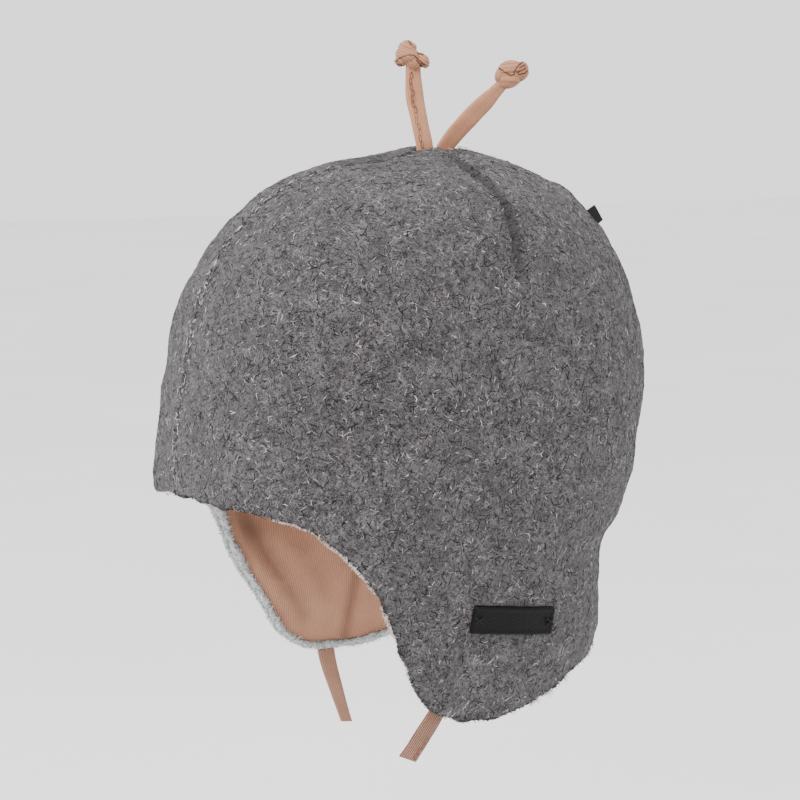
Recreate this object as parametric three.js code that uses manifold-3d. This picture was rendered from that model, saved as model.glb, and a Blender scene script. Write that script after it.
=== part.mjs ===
// Baby hat with ears: two felted wool panels sewn along a centre seam, a jersey lining, a pale
// fleece roll round the rim, two knotted strips on top, two ties, a patch and a back tab.
// Millimetres, +Z up. The face opening looks toward -Y, and the wearer's left side is +X.
// The origin is the top of the hollow, where the crown rests on the head.
import * as THREE from 'three';
import Module from 'manifold-3d';
import { mergeVertices } from 'three/addons/utils/BufferGeometryUtils.js';

// Overall sizes, outside
const hatWidth = 132;
const hatLength = 152;
const crownHeight = 107; // top of the crown down to the forehead edge
const flapDrop = 66; // forehead edge down to the tips of the ear flaps

// Walls and clearances
const woolWall = 2.8;
const liningWall = 1.1;
const layerGap = 0.45; // between the wool and the lining
const seamGap = 0.3; // between the two wool panels
const seatGap = 0.3; // below pieces that sit on the wool or hang from the rim

// Rolled fleece edge
const rollThickness = 2.1;
const rollWidth = 2;
const rollShow = 0.9; // how far the roll shows below the wool
const hemGap = 0.5; // between the lining's edge and the roll
const hemInset = rollWidth - rollShow + hemGap; // lining edge to rim

// Centre seam: a groove all along, and a dip before and below the ears
const grooveDepth = 0.6;
const grooveWidth = 1.8;
const dipDepth = 3.4;
const dipWidth = 8.5;
const dipPlace = 1; // middle of the dip, back from the middle of the hat
const dipFront = 24;
const dipBack = 13;

// Darts: the cloth before each dart stands proud, and the cloth behind it is tucked under
const dartTurn = 0.545; // share of the half turn from the forehead to the nape
const dartStart = 9; // along the cloth from the top of the crown
const dartEnd = 76;
const dartProud = 0.9;
const dartSunk = 1.3;
const dartFrontReach = 12;
const dartBackReach = 15;

// Ears: strips that come out of the centre seam side by side, each with a knot
const earWidth = 5.9;
const earThickness = 2;
const earLength = 27.7; // from the seam to the knot
const earSpacing = 6.3;
const earPlace = 12; // middle of the pair, back from the middle of the hat
const earFrontSideShare = -0.27; // share of the ear's length toward the wearer's left
const earFrontBackShare = -0.02; // share of the ear's length toward the nape
const earBackSideShare = 0.38;
const earBackBackShare = 0.55;
const earUpright = 0.2; // share that leaves the seam straight up
const earTurnHeight = 0.6; // share of the ear's height where it turns toward its knot
const earFrontSwing = 1; // share of the lean that is reached there
const earBackSwing = 0.45;
const knotWidth = 11;
const knotHeight = 9;
const knotDepth = 8.4;
const knotSeat = 0.4; // share of the knot's height from the strip's end to its middle
const knotWrap = 0.3; // half the thickness of a wrap, as a share of half the knot
const knotUpAngle = 0.5; // radians
const knotDownAngle = -0.9;

// Ties
const tieWidth = 5.5;
const tieThickness = 1.4;
const tieLeftLength = 18;
const tieRightLength = 25;
const tieLeftTurn = 0.455; // share of the half turn from the forehead to the nape
const tieRightTurn = 0.53;
const tieLeftDriftShare = -0.6; // share of the length that the end drifts back
const tieRightDriftShare = 0.25;
const tieSquare = 0.2; // share that leaves the rim square to it
const tieBend = 0.6; // where along it the tie turns to hang
const tieSag = 0.04; // how far it hangs there, as a share of its length

// Patch on the left flap and tab in the back seam
const patchLength = 29;
const patchHeight = 9.2;
const patchThickness = 1.1;
const patchPlace = 7; // back from the middle of the hat
const patchRise = 33; // above the flap tips
const patchTilt = 0.13; // falls toward the back
const tagLength = 6;
const tagShow = 7;
const tagThickness = 0.8;
const tagDrop = 29; // below the top of the crown

// Facets
const columns = 36; // per panel, round the hat
const rows = 15; // from the top to the rim
const steps = 240; // for measuring the rim

const wallTotal = woolWall + layerGap + liningWall;
const halfWidth = hatWidth / 2;
const halfLength = hatLength / 2;

// Level cuts from the top down. crown and flap are shares of crownHeight and flapDrop, width of
// half the hat's width, length and centre of half its length. square is 2 for an ellipse.
const cuts = [
  { crown: 0, flap: 0, width: 0, length: 0, centre: 0.12, square: 2 },
  { crown: 0.043, flap: 0, width: 0.33, length: 0.325, centre: 0.08, square: 2 },
  { crown: 0.1, flap: 0, width: 0.545, length: 0.54, centre: 0.072, square: 2.05 },
  { crown: 0.16, flap: 0, width: 0.68, length: 0.674, centre: 0.066, square: 2.1 },
  { crown: 0.272, flap: 0, width: 0.825, length: 0.822, centre: 0.051, square: 2.15 },
  { crown: 0.446, flap: 0, width: 0.935, length: 0.934, centre: 0.036, square: 2.2 },
  { crown: 0.684, flap: 0, width: 0.995, length: 0.995, centre: 0.018, square: 2.3 },
  { crown: 0.838, flap: 0, width: 1, length: 0.998, centre: -0.006, square: 2.35 },
  { crown: 0.965, flap: 0, width: 1, length: 0.985, centre: -0.034, square: 2.4 },
  { crown: 1, flap: 0.115, width: 1, length: 0.938, centre: -0.062, square: 2.4 },
  { crown: 1, flap: 0.26, width: 0.99, length: 0.89, centre: -0.09, square: 2.4 },
  { crown: 1, flap: 0.42, width: 0.975, length: 0.875, centre: -0.08, square: 2.4 },
  { crown: 1, flap: 0.63, width: 0.945, length: 0.86, centre: -0.063, square: 2.4 },
  { crown: 1, flap: 0.84, width: 0.935, length: 0.825, centre: -0.075, square: 2.35 },
  { crown: 1, flap: 1, width: 0.905, length: 0.745, centre: -0.096, square: 2.3 },
];

// The rim from the forehead round the side to the nape. turn is a share of the half turn.
const rim = [
  { turn: 0, crown: 0.982, flap: 0 },
  { turn: 0.12, crown: 0.98, flap: 0 },
  { turn: 0.2, crown: 0.99, flap: 0 },
  { turn: 0.264, crown: 1, flap: 0.035 },
  { turn: 0.309, crown: 1, flap: 0.14 },
  { turn: 0.343, crown: 1, flap: 0.26 },
  { turn: 0.365, crown: 1, flap: 0.4 },
  { turn: 0.386, crown: 1, flap: 0.63 },
  { turn: 0.406, crown: 1, flap: 0.79 },
  { turn: 0.439, crown: 1, flap: 0.905 },
  { turn: 0.5, crown: 1, flap: 0.97 },
  { turn: 0.572, crown: 1, flap: 0.96 },
  { turn: 0.658, crown: 1, flap: 0.9 },
  { turn: 0.773, crown: 1, flap: 0.8 },
  { turn: 0.857, crown: 1, flap: 0.76 },
  { turn: 1, crown: 1, flap: 0.75 },
];

// A smooth curve through the rows of a table, read at a running length
function tableCurve(table, ruler) {
  const at = [0];
  for (let k = 1; k < table.length; k++) {
    at.push(at[k - 1] + ruler(table[k - 1], table[k]));
  }
  const last = table.length - 1;
  const slope = (k, name) => {
    const a = Math.max(k - 1, 0);
    const b = Math.min(k + 1, last);
    return (table[b][name] - table[a][name]) / (at[b] - at[a]);
  };
  const read = (length) => {
    let k = 0;
    while (k < last - 1 && length > at[k + 1]) k++;
    const span = at[k + 1] - at[k];
    const t = THREE.MathUtils.clamp((length - at[k]) / span, 0, 1);
    const row = {};
    for (const name of Object.keys(table[k])) {
      const p = table[k][name];
      const q = table[k + 1][name];
      const bendIn = slope(k, name) * span;
      const bendOut = slope(k + 1, name) * span;
      row[name] = p + t * (bendIn + t * (3 * (q - p) - 2 * bendIn - bendOut
        + t * (2 * (p - q) + bendIn + bendOut)));
    }
    return row;
  };
  return { read, at };
}

const cutSizes = cuts.map((cut) => ({
  drop: cut.crown * crownHeight + cut.flap * flapDrop,
  width: cut.width * halfWidth,
  length: cut.length * halfLength,
  centre: cut.centre * halfLength,
  square: cut.square,
}));

// A row beyond the top of the crown, so that the crown is round there
const beyondTop = { ...cutSizes[1], width: -cutSizes[1].width, length: -cutSizes[1].length };
const profile = tableCurve(
  [beyondTop, ...cutSizes],
  (p, q) => Math.hypot(q.length - p.length, q.drop - p.drop),
);
const profileTop = profile.at[1];
const profileEnd = profile.at[profile.at.length - 1];
const cutAt = (path) => profile.read(profileTop + path);

// How far down the cloth, from the top of the crown, a drop lies
function pathTo(drop) {
  let low = 0;
  let high = profileEnd - profileTop;
  for (let k = 0; k < 40; k++) {
    const middle = (low + high) / 2;
    if (cutAt(middle).drop < drop) low = middle;
    else high = middle;
  }
  return (low + high) / 2;
}

// A point of the outside before any relief, at a turn and a path down from the top
function outline(turn, path) {
  const cut = cutAt(path);
  const across = Math.sin(turn * Math.PI);
  const along = Math.cos(turn * Math.PI);
  const scale = (Math.abs(across) ** cut.square + Math.abs(along) ** cut.square) ** (-1 / cut.square);
  return new THREE.Vector3(
    cut.width * scale * across,
    cut.centre - cut.length * scale * along,
    wallTotal - cut.drop,
  );
}

const turnStep = 1e-4;
const pathStep = 1e-2;

function tangents(turn, path) {
  return {
    round: outline(turn + turnStep, path).sub(outline(turn - turnStep, path)).divideScalar(2 * turnStep),
    down: outline(turn, path).sub(outline(turn, path - pathStep)).divideScalar(pathStep),
  };
}

function outward(turn, path) {
  if (path < pathStep) return new THREE.Vector3(0, 0, 1);
  const { round, down } = tangents(turn, path);
  const normal = down.cross(round).normalize();
  if (turn <= 0 || turn >= 1) normal.setX(0).normalize();
  return normal;
}

const bell = (distance, reach) => Math.exp(-((distance / reach) ** 2));

// The dip and the groove along the centre seam
function seamRelief(point) {
  const reach = point.y < dipPlace ? dipFront : dipBack;
  const upper = THREE.MathUtils.smoothstep(point.z, wallTotal - crownHeight / 2, wallTotal);
  const dip = dipDepth * bell(point.x, dipWidth) * bell(point.y - dipPlace, reach) * upper;
  return -dip - grooveDepth * bell(point.x, grooveWidth);
}

// The dart's share of its full height at a path from the top
function dartFade(path) {
  const open = THREE.MathUtils.smoothstep(path, 0, dartStart);
  return open * (1 - THREE.MathUtils.smoothstep(path, dartStart, dartEnd));
}

function dartRelief(turn, path, layer) {
  const cut = cutAt(path);
  const distance = (turn - dartTurn) * Math.PI * (cut.width + cut.length) / 2;
  if (layer === 'wool' && distance < 0) {
    return dartProud * dartFade(path) * bell(distance, dartFrontReach);
  }
  return -dartSunk * dartFade(path) * bell(distance, dartBackReach);
}

// A point of the cloth at a depth below the outside
function clothPoint(turn, path, depth, layer) {
  const point = outline(turn, path);
  const relief = seamRelief(point) + dartRelief(turn, path, layer);
  return point.addScaledVector(outward(turn, path), relief - depth);
}

// The rim
const rimSizes = rim.map((row) => ({
  turn: row.turn,
  drop: row.crown * crownHeight + row.flap * flapDrop,
}));
const meanRadius = (halfWidth + halfLength) / 2;
const rimCurve = tableCurve(
  rimSizes,
  (p, q) => Math.hypot((q.turn - p.turn) * Math.PI * meanRadius, q.drop - p.drop),
);
const rimLength = rimCurve.at[rimCurve.at.length - 1];

function rimPlace(length) {
  const row = rimCurve.read(THREE.MathUtils.clamp(length, 0, rimLength));
  return { turn: row.turn, path: pathTo(row.drop) };
}

function rimPoint(length) {
  const { turn, path } = rimPlace(length);
  return outline(turn, path);
}

// Running lengths of the rim's table that lie evenly along the real rim
function evenLengths() {
  const walked = [0];
  for (let k = 1; k <= steps; k++) {
    const a = rimPoint(rimLength * (k - 1) / steps);
    const b = rimPoint(rimLength * k / steps);
    walked.push(walked[k - 1] + a.distanceTo(b));
  }
  return Array.from({ length: columns + 1 }, (_, i) => {
    const target = walked[steps] * i / columns;
    let k = 1;
    while (k < steps && walked[k] < target) k++;
    const part = (target - walked[k - 1]) / (walked[k] - walked[k - 1]);
    return rimLength * (k - 1 + part) / steps;
  });
}

const rimLengths = evenLengths();
const rimPlaces = rimLengths.map(rimPlace);

// The rim's directions at a length: along it, out of the cloth, and up into the cloth
const rimStep = 2; // mm to each side of a place, to find the rim's direction there

function rimFrame(length) {
  const { turn, path } = rimPlace(length);
  const along = rimPoint(length + rimStep).sub(rimPoint(length - rimStep));
  if (turn <= 0) along.set(1, 0, 0);
  if (turn >= 1) along.set(-1, 0, 0);
  along.normalize();
  const out = outward(turn, path);
  const into = out.clone().cross(along).normalize();
  return { turn, path, along, out, into };
}

// The places where an edge set back from the rim by a distance lies
function insetRim(distance) {
  return rimLengths.map((length, i) => {
    const { turn, path, into } = rimFrame(length);
    const { round, down } = tangents(turn, path);
    const rr = round.dot(round);
    const rd = round.dot(down);
    const dd = down.dot(down);
    const r = into.dot(round) * distance;
    const d = into.dot(down) * distance;
    const base = rr * dd - rd * rd;
    const aside = i === 0 || i === columns ? 0 : (r * dd - d * rd) / base;
    return { turn: turn + aside, path: path + (d * rr - r * rd) / base };
  });
}

// Columns start from the top at even turns, two of them close beside the dart
const dartColumn = Math.round(dartTurn * columns);
const dartHalf = 0.004; // of the half turn, from the dart to each of the two

function topTurn(i) {
  if (i <= dartColumn) return (dartTurn - dartHalf) * i / dartColumn;
  const left = columns - dartColumn - 1;
  return dartTurn + dartHalf + (1 - dartTurn - dartHalf) * (i - dartColumn - 1) / left;
}

const steadyShare = 0.4; // of each column, before it turns toward its place on the rim

function gridPlace(i, j) {
  const share = j / rows;
  const swing = THREE.MathUtils.smoothstep(share, steadyShare, 1);
  return {
    turn: THREE.MathUtils.lerp(topTurn(i), rimPlaces[i].turn, swing),
    path: share * rimPlaces[i].path,
  };
}

// The lining keeps the wool's places, and its last two rows lead to its own edge
const hemRows = 2;

function liningPlace(i, j, hem) {
  const before = Math.min(j, rows - hemRows);
  const place = gridPlace(i, before);
  const share = (j - before) / hemRows;
  return {
    turn: THREE.MathUtils.lerp(place.turn, hem[i].turn, share),
    path: THREE.MathUtils.lerp(place.path, hem[i].path, share),
  };
}

// A closed wall between two grids of points. around is true for a ring of columns.
// The first row of each grid is one point, the top.
function wallGeometry(outer, inner, around) {
  const positions = [];
  const index = [];
  const add = (point) => positions.push(point.x, point.y, point.z) / 3 - 1;
  const number = (grid) => {
    const top = add(grid[0][0]);
    return grid.map((column) => column.map((point, j) => (j === 0 ? top : add(point))));
  };
  const out = number(outer);
  const inn = number(inner);
  const quad = (a, b, c, d) => {
    if (a !== b) index.push(a, b, c);
    if (c !== d) index.push(a, c, d);
  };
  const count = outer.length;
  const last = outer[0].length - 1;
  for (let i = 0; i < (around ? count : count - 1); i++) {
    const k = (i + 1) % count;
    for (let j = 0; j < last; j++) {
      if (j === 0) {
        index.push(out[i][0], out[i][1], out[k][1]);
        index.push(inn[i][0], inn[k][1], inn[i][1]);
      } else {
        quad(out[i][j], out[i][j + 1], out[k][j + 1], out[k][j]);
        quad(inn[i][j], inn[k][j], inn[k][j + 1], inn[i][j + 1]);
      }
    }
    quad(out[i][last], inn[i][last], inn[k][last], out[k][last]);
  }
  if (!around) {
    for (let j = 0; j < last; j++) {
      quad(out[0][j], inn[0][j], inn[0][j + 1], out[0][j + 1]);
      quad(out[count - 1][j + 1], inn[count - 1][j + 1], inn[count - 1][j], out[count - 1][j]);
    }
  }
  const geometry = new THREE.BufferGeometry();
  geometry.setAttribute('position', new THREE.Float32BufferAttribute(positions, 3));
  geometry.setIndex(index);
  return geometry;
}

// A closed body through rings of points, in a loop or with two flat ends
function loft(rings, loop) {
  const positions = rings.flat().flatMap((point) => point.toArray());
  const sides = rings[0].length;
  const index = [];
  const turns = loop ? rings.length : rings.length - 1;
  for (let i = 0; i < turns; i++) {
    const k = (i + 1) % rings.length;
    for (let j = 0; j < sides; j++) {
      const n = (j + 1) % sides;
      index.push(i * sides + j, k * sides + j, k * sides + n);
      index.push(i * sides + j, k * sides + n, i * sides + n);
    }
  }
  if (!loop) {
    const end = (rings.length - 1) * sides;
    for (let j = 1; j < sides - 1; j++) {
      index.push(0, j, j + 1);
      index.push(end, end + j + 1, end + j);
    }
  }
  const geometry = new THREE.BufferGeometry();
  geometry.setAttribute('position', new THREE.Float32BufferAttribute(positions, 3));
  geometry.setIndex(index);
  return geometry;
}

// The same body on the other side of the hat
function mirrored(geometry) {
  const copy = geometry.clone().scale(-1, 1, 1);
  const index = copy.index.array;
  for (let k = 0; k < index.length; k += 3) {
    [index[k], index[k + 1]] = [index[k + 1], index[k]];
  }
  return copy;
}

// Wool panels
function panelGeometry() {
  const grid = (depth) => Array.from({ length: columns + 1 }, (_, i) => (
    Array.from({ length: rows + 1 }, (__, j) => {
      const { turn, path } = gridPlace(i, j);
      return clothPoint(turn, path, depth, 'wool');
    })
  ));
  return wallGeometry(grid(0), grid(woolWall), false).translate(seamGap / 2, 0, 0);
}

// Both halves of a ring: the left half from front to back, then the right half back to the front
function aroundBothSides(make) {
  const left = Array.from({ length: columns + 1 }, (_, i) => make(i));
  const flip = (item) => item.map((point) => point.clone().multiply(new THREE.Vector3(-1, 1, 1)));
  return [...left, ...left.slice(1, -1).reverse().map(flip)];
}

function liningGeometry() {
  const hem = insetRim(hemInset);
  const grid = (depth) => aroundBothSides((i) => (
    Array.from({ length: rows + 1 }, (_, j) => {
      const { turn, path } = liningPlace(i, j, hem);
      return clothPoint(turn, path, depth, 'lining');
    })
  ));
  return wallGeometry(grid(woolWall + layerGap), grid(wallTotal), true);
}

// The roll's section: out is away from the head, into is up into the cloth
const rollSides = 6;

function rollGeometry() {
  const middleOut = -(woolWall + seatGap + rollThickness / 2);
  const middleInto = rollWidth / 2 - rollShow;
  const rings = aroundBothSides((i) => {
    const { turn, path, out, into } = rimFrame(rimLengths[i]);
    const seat = clothPoint(turn, path, 0, 'wool');
    return Array.from({ length: rollSides }, (_, k) => {
      const angle = 2 * Math.PI * (k + 0.5) / rollSides;
      return seat.clone()
        .addScaledVector(out, middleOut + rollThickness / 2 * Math.cos(angle))
        .addScaledVector(into, middleInto + rollWidth / 2 * Math.sin(angle));
    });
  });
  return loft(rings, true);
}

// A flat strip with rounded edges along a curve. flat gives its width direction at a tangent.
const stripSides = 10;
const stripSteps = 10;
const stripFlat = 0.6; // 1 for an oval section, less for flatter faces

function stripGeometry(curve, width, thickness, flat) {
  const rings = [];
  for (let k = 0; k <= stripSteps; k++) {
    const middle = curve.getPoint(k / stripSteps);
    const ahead = curve.getTangent(k / stripSteps);
    const side = flat(ahead);
    const face = new THREE.Vector3().crossVectors(ahead, side).normalize();
    rings.push(Array.from({ length: stripSides }, (_, n) => {
      const angle = -2 * Math.PI * n / stripSides;
      const x = Math.sign(Math.cos(angle)) * Math.abs(Math.cos(angle)) ** stripFlat;
      const y = Math.sign(Math.sin(angle)) * Math.abs(Math.sin(angle)) ** stripFlat;
      return middle.clone()
        .addScaledVector(side, x * width / 2)
        .addScaledVector(face, y * thickness / 2);
    }));
  }
  return loft(rings, false);
}

const wasm = await Module();
wasm.setup();

function solid(geometry) {
  geometry.deleteAttribute('normal');
  geometry.deleteAttribute('uv');
  const merged = mergeVertices(geometry);
  return new wasm.Manifold(new wasm.Mesh({
    numProp: 3,
    vertProperties: new Float32Array(merged.attributes.position.array),
    triVerts: new Uint32Array(merged.index.array),
  }));
}

function joined(geometries) {
  const mesh = geometries.map(solid).reduce((whole, next) => whole.add(next)).getMesh();
  const geometry = new THREE.BufferGeometry();
  geometry.setAttribute('position', new THREE.BufferAttribute(mesh.vertProperties, 3));
  geometry.setIndex(new THREE.BufferAttribute(mesh.triVerts, 1));
  return geometry;
}

// The place of the crown's centre seam at a distance back from the middle of the hat
function seamPoint(back) {
  const turn = back < cutSizes[0].centre ? 0 : 1;
  let low = 0;
  let high = halfLength;
  for (let k = 0; k < 40; k++) {
    const middle = (low + high) / 2;
    const away = Math.abs(clothPoint(turn, middle, 0, 'wool').y - cutSizes[0].centre);
    if (away < Math.abs(back - cutSizes[0].centre)) low = middle;
    else high = middle;
  }
  return clothPoint(turn, (low + high) / 2, 0, 'wool');
}

// A knot: a round body with two wraps of the strip crossing over it
const knotCore = 0.92; // the body's share of the knot

function knotGeometries(middle, ahead) {
  const turnTo = new THREE.Quaternion().setFromUnitVectors(new THREE.Vector3(0, 0, 1), ahead);
  const place = (geometry, tilt) => geometry
    .rotateX(tilt)
    .scale(knotDepth / 2, knotWidth / 2, knotHeight / 2)
    .applyQuaternion(turnTo)
    .translate(middle.x, middle.y, middle.z);
  return [
    place(new THREE.SphereGeometry(knotCore, 10, 8), 0),
    place(new THREE.TorusGeometry(1 - knotWrap, knotWrap, 6, 10), knotUpAngle),
    place(new THREE.TorusGeometry(1 - knotWrap, knotWrap, 6, 10), knotDownAngle),
  ];
}

// An ear leaves the seam straight up and then leans sideways and back
function earGeometry(back, leanSide, leanBack, swing) {
  const foot = seamPoint(back);
  foot.z += seatGap + grooveDepth * (1 - bell(earThickness / 2, grooveWidth));
  const rise = Math.sqrt(1 - leanSide ** 2 - leanBack ** 2);
  const at = (side, up) => new THREE.Vector3(leanSide * side, leanBack * side, rise * up)
    .multiplyScalar(earLength)
    .add(foot);
  const tip = at(1, 1);
  const straight = foot.clone();
  straight.z += earLength * earUpright;
  const curve = new THREE.CubicBezierCurve3(foot, straight, at(swing, earTurnHeight), tip);
  const sideways = new THREE.Vector3(1, 0, 0);
  const flat = (ahead) => new THREE.Vector3().crossVectors(ahead, sideways).normalize();
  const strip = stripGeometry(curve, earWidth, earThickness, flat);
  const ahead = curve.getTangent(1);
  const middle = tip.clone().addScaledVector(ahead, knotHeight * knotSeat);
  return joined([strip, ...knotGeometries(middle, ahead)]);
}

// The running length of the rim's table at a turn
function rimLengthAt(turn) {
  let low = 0;
  let high = rimLength;
  for (let k = 0; k < 40; k++) {
    const middle = (low + high) / 2;
    if (rimCurve.read(middle).turn < turn) low = middle;
    else high = middle;
  }
  return (low + high) / 2;
}

// A tie leaves the rim square to it and then hangs, with its end forward or back
function tieGeometry(tieTurn, length, drift) {
  const { turn, path, out, into } = rimFrame(rimLengthAt(tieTurn));
  const top = clothPoint(turn, path, 0, 'wool')
    .addScaledVector(out, -(woolWall + seatGap + rollThickness / 2))
    .addScaledVector(into, -(rollShow + seatGap));
  const fall = length * Math.sqrt(1 - drift ** 2);
  const low = top.clone().add(new THREE.Vector3(0, drift * length, -fall));
  const straight = top.clone().addScaledVector(into, -length * tieSquare);
  const bend = top.clone().lerp(low, tieBend);
  bend.z -= length * tieSag;
  const curve = new THREE.CubicBezierCurve3(top, straight, bend, low);
  const sideways = new THREE.Vector3(1, 0, 0);
  const flat = (ahead) => new THREE.Vector3().crossVectors(ahead, sideways).normalize();
  return stripGeometry(curve, tieWidth, tieThickness, flat);
}

// The place on the left side of the hat at a distance back and a level
function sidePlace(back, level) {
  const path = pathTo(wallTotal - level);
  const cut = cutAt(path);
  const along = (cut.centre - back) / cut.length;
  const across = (1 - Math.abs(along) ** cut.square) ** (1 / cut.square);
  return { turn: Math.atan2(across, along) / Math.PI, path };
}

// The patch follows the left flap
const patchColumns = 9;
const patchRows = 3;

function patchGeometry() {
  const level = wallTotal - crownHeight - flapDrop + patchRise;
  const ring = (k) => {
    const p = (k / patchColumns - 0.5) * patchLength;
    const point = (q, lift) => {
      const back = patchPlace + p * Math.cos(patchTilt) - q * Math.sin(patchTilt);
      const height = level - p * Math.sin(patchTilt) + q * Math.cos(patchTilt);
      const { turn, path } = sidePlace(back, height);
      const spot = clothPoint(turn, path, -lift, 'wool');
      spot.x += seamGap / 2;
      return spot;
    };
    const under = [];
    const over = [];
    for (let n = 0; n <= patchRows; n++) {
      const q = (n / patchRows - 0.5) * patchHeight;
      under.unshift(point(q, seatGap));
      over.push(point(q, seatGap + patchThickness));
    }
    return [...under, ...over];
  };
  return loft(Array.from({ length: patchColumns + 1 }, (_, k) => ring(k)), false);
}

// The tab stands in the centre seam at the back
function tagGeometry() {
  const path = pathTo(tagDrop);
  const seat = clothPoint(1, path, 0, 'wool');
  const out = outward(1, path);
  const plate = new THREE.BoxGeometry(tagThickness, tagLength, tagShow);
  plate.translate(0, 0, tagShow / 2 + seatGap);
  const lean = new THREE.Quaternion().setFromUnitVectors(new THREE.Vector3(0, 0, 1), out);
  return plate.applyQuaternion(lean).translate(seat.x, seat.y, seat.z);
}

const wool = new THREE.MeshStandardMaterial({ color: 0x7d787b, roughness: 0.97, metalness: 0 });
const fleece = new THREE.MeshStandardMaterial({ color: 0xc8cbca, roughness: 0.97, metalness: 0 });
const jersey = new THREE.MeshStandardMaterial({ color: 0xb48c76, roughness: 0.92, metalness: 0 });
const strap = new THREE.MeshStandardMaterial({ color: 0xc09c85, roughness: 0.92, metalness: 0 });
const patch = new THREE.MeshStandardMaterial({ color: 0x2d2f2e, roughness: 0.7, metalness: 0 });

const hat = new THREE.Group();

function addPiece(name, geometry, material) {
  const mesh = new THREE.Mesh(geometry, material.clone());
  mesh.name = name;
  hat.add(mesh);
}

const panel = panelGeometry();
addPiece('panel_left', panel, wool);
addPiece('panel_right', mirrored(panel), wool);
addPiece('fleece_edge', rollGeometry(), fleece);
addPiece('jersey_lining', liningGeometry(), jersey);
addPiece('ear_front', earGeometry(
  earPlace - earSpacing / 2,
  earFrontSideShare,
  earFrontBackShare,
  earFrontSwing,
), strap);
addPiece('ear_back', earGeometry(
  earPlace + earSpacing / 2,
  earBackSideShare,
  earBackBackShare,
  earBackSwing,
), strap);
addPiece('tie_left', tieGeometry(tieLeftTurn, tieLeftLength, tieLeftDriftShare), strap);
addPiece('tie_right', mirrored(tieGeometry(tieRightTurn, tieRightLength, tieRightDriftShare)), strap);
addPiece('label_patch', patchGeometry(), patch);
addPiece('back_tag', tagGeometry(), patch);

export default hat;
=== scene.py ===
import math

import bpy
import numpy as np
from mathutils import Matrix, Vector


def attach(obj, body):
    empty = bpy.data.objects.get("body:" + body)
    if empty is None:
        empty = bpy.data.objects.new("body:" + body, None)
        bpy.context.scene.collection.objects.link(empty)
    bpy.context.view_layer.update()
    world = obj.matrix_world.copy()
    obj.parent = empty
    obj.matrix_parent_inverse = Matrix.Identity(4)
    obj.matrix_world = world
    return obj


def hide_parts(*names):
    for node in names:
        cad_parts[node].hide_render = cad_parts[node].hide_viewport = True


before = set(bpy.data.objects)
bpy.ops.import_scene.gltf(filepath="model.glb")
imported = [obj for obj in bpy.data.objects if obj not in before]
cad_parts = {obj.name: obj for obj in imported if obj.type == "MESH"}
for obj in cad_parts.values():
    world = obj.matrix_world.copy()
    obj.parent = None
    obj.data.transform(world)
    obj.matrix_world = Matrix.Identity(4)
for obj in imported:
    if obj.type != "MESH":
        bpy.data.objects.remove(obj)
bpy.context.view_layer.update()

# The hat's sizes in millimetres. They are those of the part's source, but for the turn of the dart
# and the drop of the tag, which are set to the photo
HAT_WIDTH = 132
HAT_LENGTH = 152
CROWN_HEIGHT = 107
FLAP_DROP = 66
WOOL_WALL = 2.8
LINING_WALL = 1.1
LAYER_GAP = 0.45
SEAM_GAP = 0.3
SEAT_GAP = 0.3
ROLL_THICKNESS = 2.1
ROLL_WIDTH = 2
ROLL_SHOW = 0.9
HEM_GAP = 0.5
GROOVE_DEPTH = 0.6
GROOVE_WIDTH = 1.8
DIP_DEPTH = 3.4
DIP_WIDTH = 8.5
DIP_PLACE = 1
DIP_FRONT = 24
DIP_BACK = 13
DART_TURN = 0.534
DART_START = 9
DART_END = 76
DART_PROUD = 0.9
DART_SUNK = 1.3
DART_FRONT_REACH = 12
DART_BACK_REACH = 15
EAR_WIDTH = 5.9
EAR_THICKNESS = 2
EAR_LENGTH = 27.7
EAR_SPACING = 6.3
EAR_PLACE = 12
EAR_UPRIGHT = 0.2
EAR_TURN_HEIGHT = 0.6
TIE_WIDTH = 5.5
TIE_THICKNESS = 1.4
TIE_LEFT_LENGTH = 18
TIE_RIGHT_LENGTH = 25
TIE_LEFT_TURN = 0.455
TIE_RIGHT_TURN = 0.53
TIE_LEFT_DRIFT = -0.6
TIE_RIGHT_DRIFT = 0.25
TIE_SQUARE = 0.2
TIE_BEND = 0.6
TIE_SAG = 0.04
PATCH_LENGTH = 29
PATCH_HEIGHT = 9.2
PATCH_THICKNESS = 1.1
PATCH_PLACE = 7
PATCH_RISE = 33
PATCH_TILT = 0.13
TAG_LENGTH = 6
TAG_SHOW = 7
TAG_THICKNESS = 0.8
TAG_DROP = 27.8
STEADY_SHARE = 0.4
DART_COLUMN_SHARE = 20 / 36
HEM_SHARE = 13 / 15

WALL_TOTAL = WOOL_WALL + LAYER_GAP + LINING_WALL
HALF_WIDTH = HAT_WIDTH / 2
HALF_LENGTH = HAT_LENGTH / 2
HEM_INSET = ROLL_WIDTH - ROLL_SHOW + HEM_GAP
MM = 0.001
MIRROR = np.array([-1.0, 1, 1])

# How far the worn hat has settled, in millimetres, and the places between which each move sets in:
# side is to the left, back is toward the nape, and down is below the top of the head
SETTLE_FRONT = 2.6
SETTLE_TUCK = 2.7
SETTLE_DOWN = 1.9
SETTLE_BACK = 2.0
SETTLE_BROW = 2.4
SETTLE_LIFT = 1.6
SETTLE_SIDE = (10, 40)
FRONT_DOWN = 132
FRONT_REACH = 13
FRONT_BACK = (-30, 10)
TUCK_DOWN = (138, 154)
TUCK_BACK = (-28, 12)
LOW_DOWN = (130, 166)
LOW_BACK = (30, 60)
NAPE_DOWN = (128, 150)
NAPE_BACK = (-2, 14)
BROW_SIDE = (2, 18)
BROW_BACK = (-66, -42)
BROW_DOWN = (78, 100)
LIFT_DOWN = (138, 156)
LIFT_BACK = (24, 40)
THIN_EDGE = 1.4
THIN_FROM = (0.27, 0.33)
THIN_TO = (0.42, 0.5)

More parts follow.
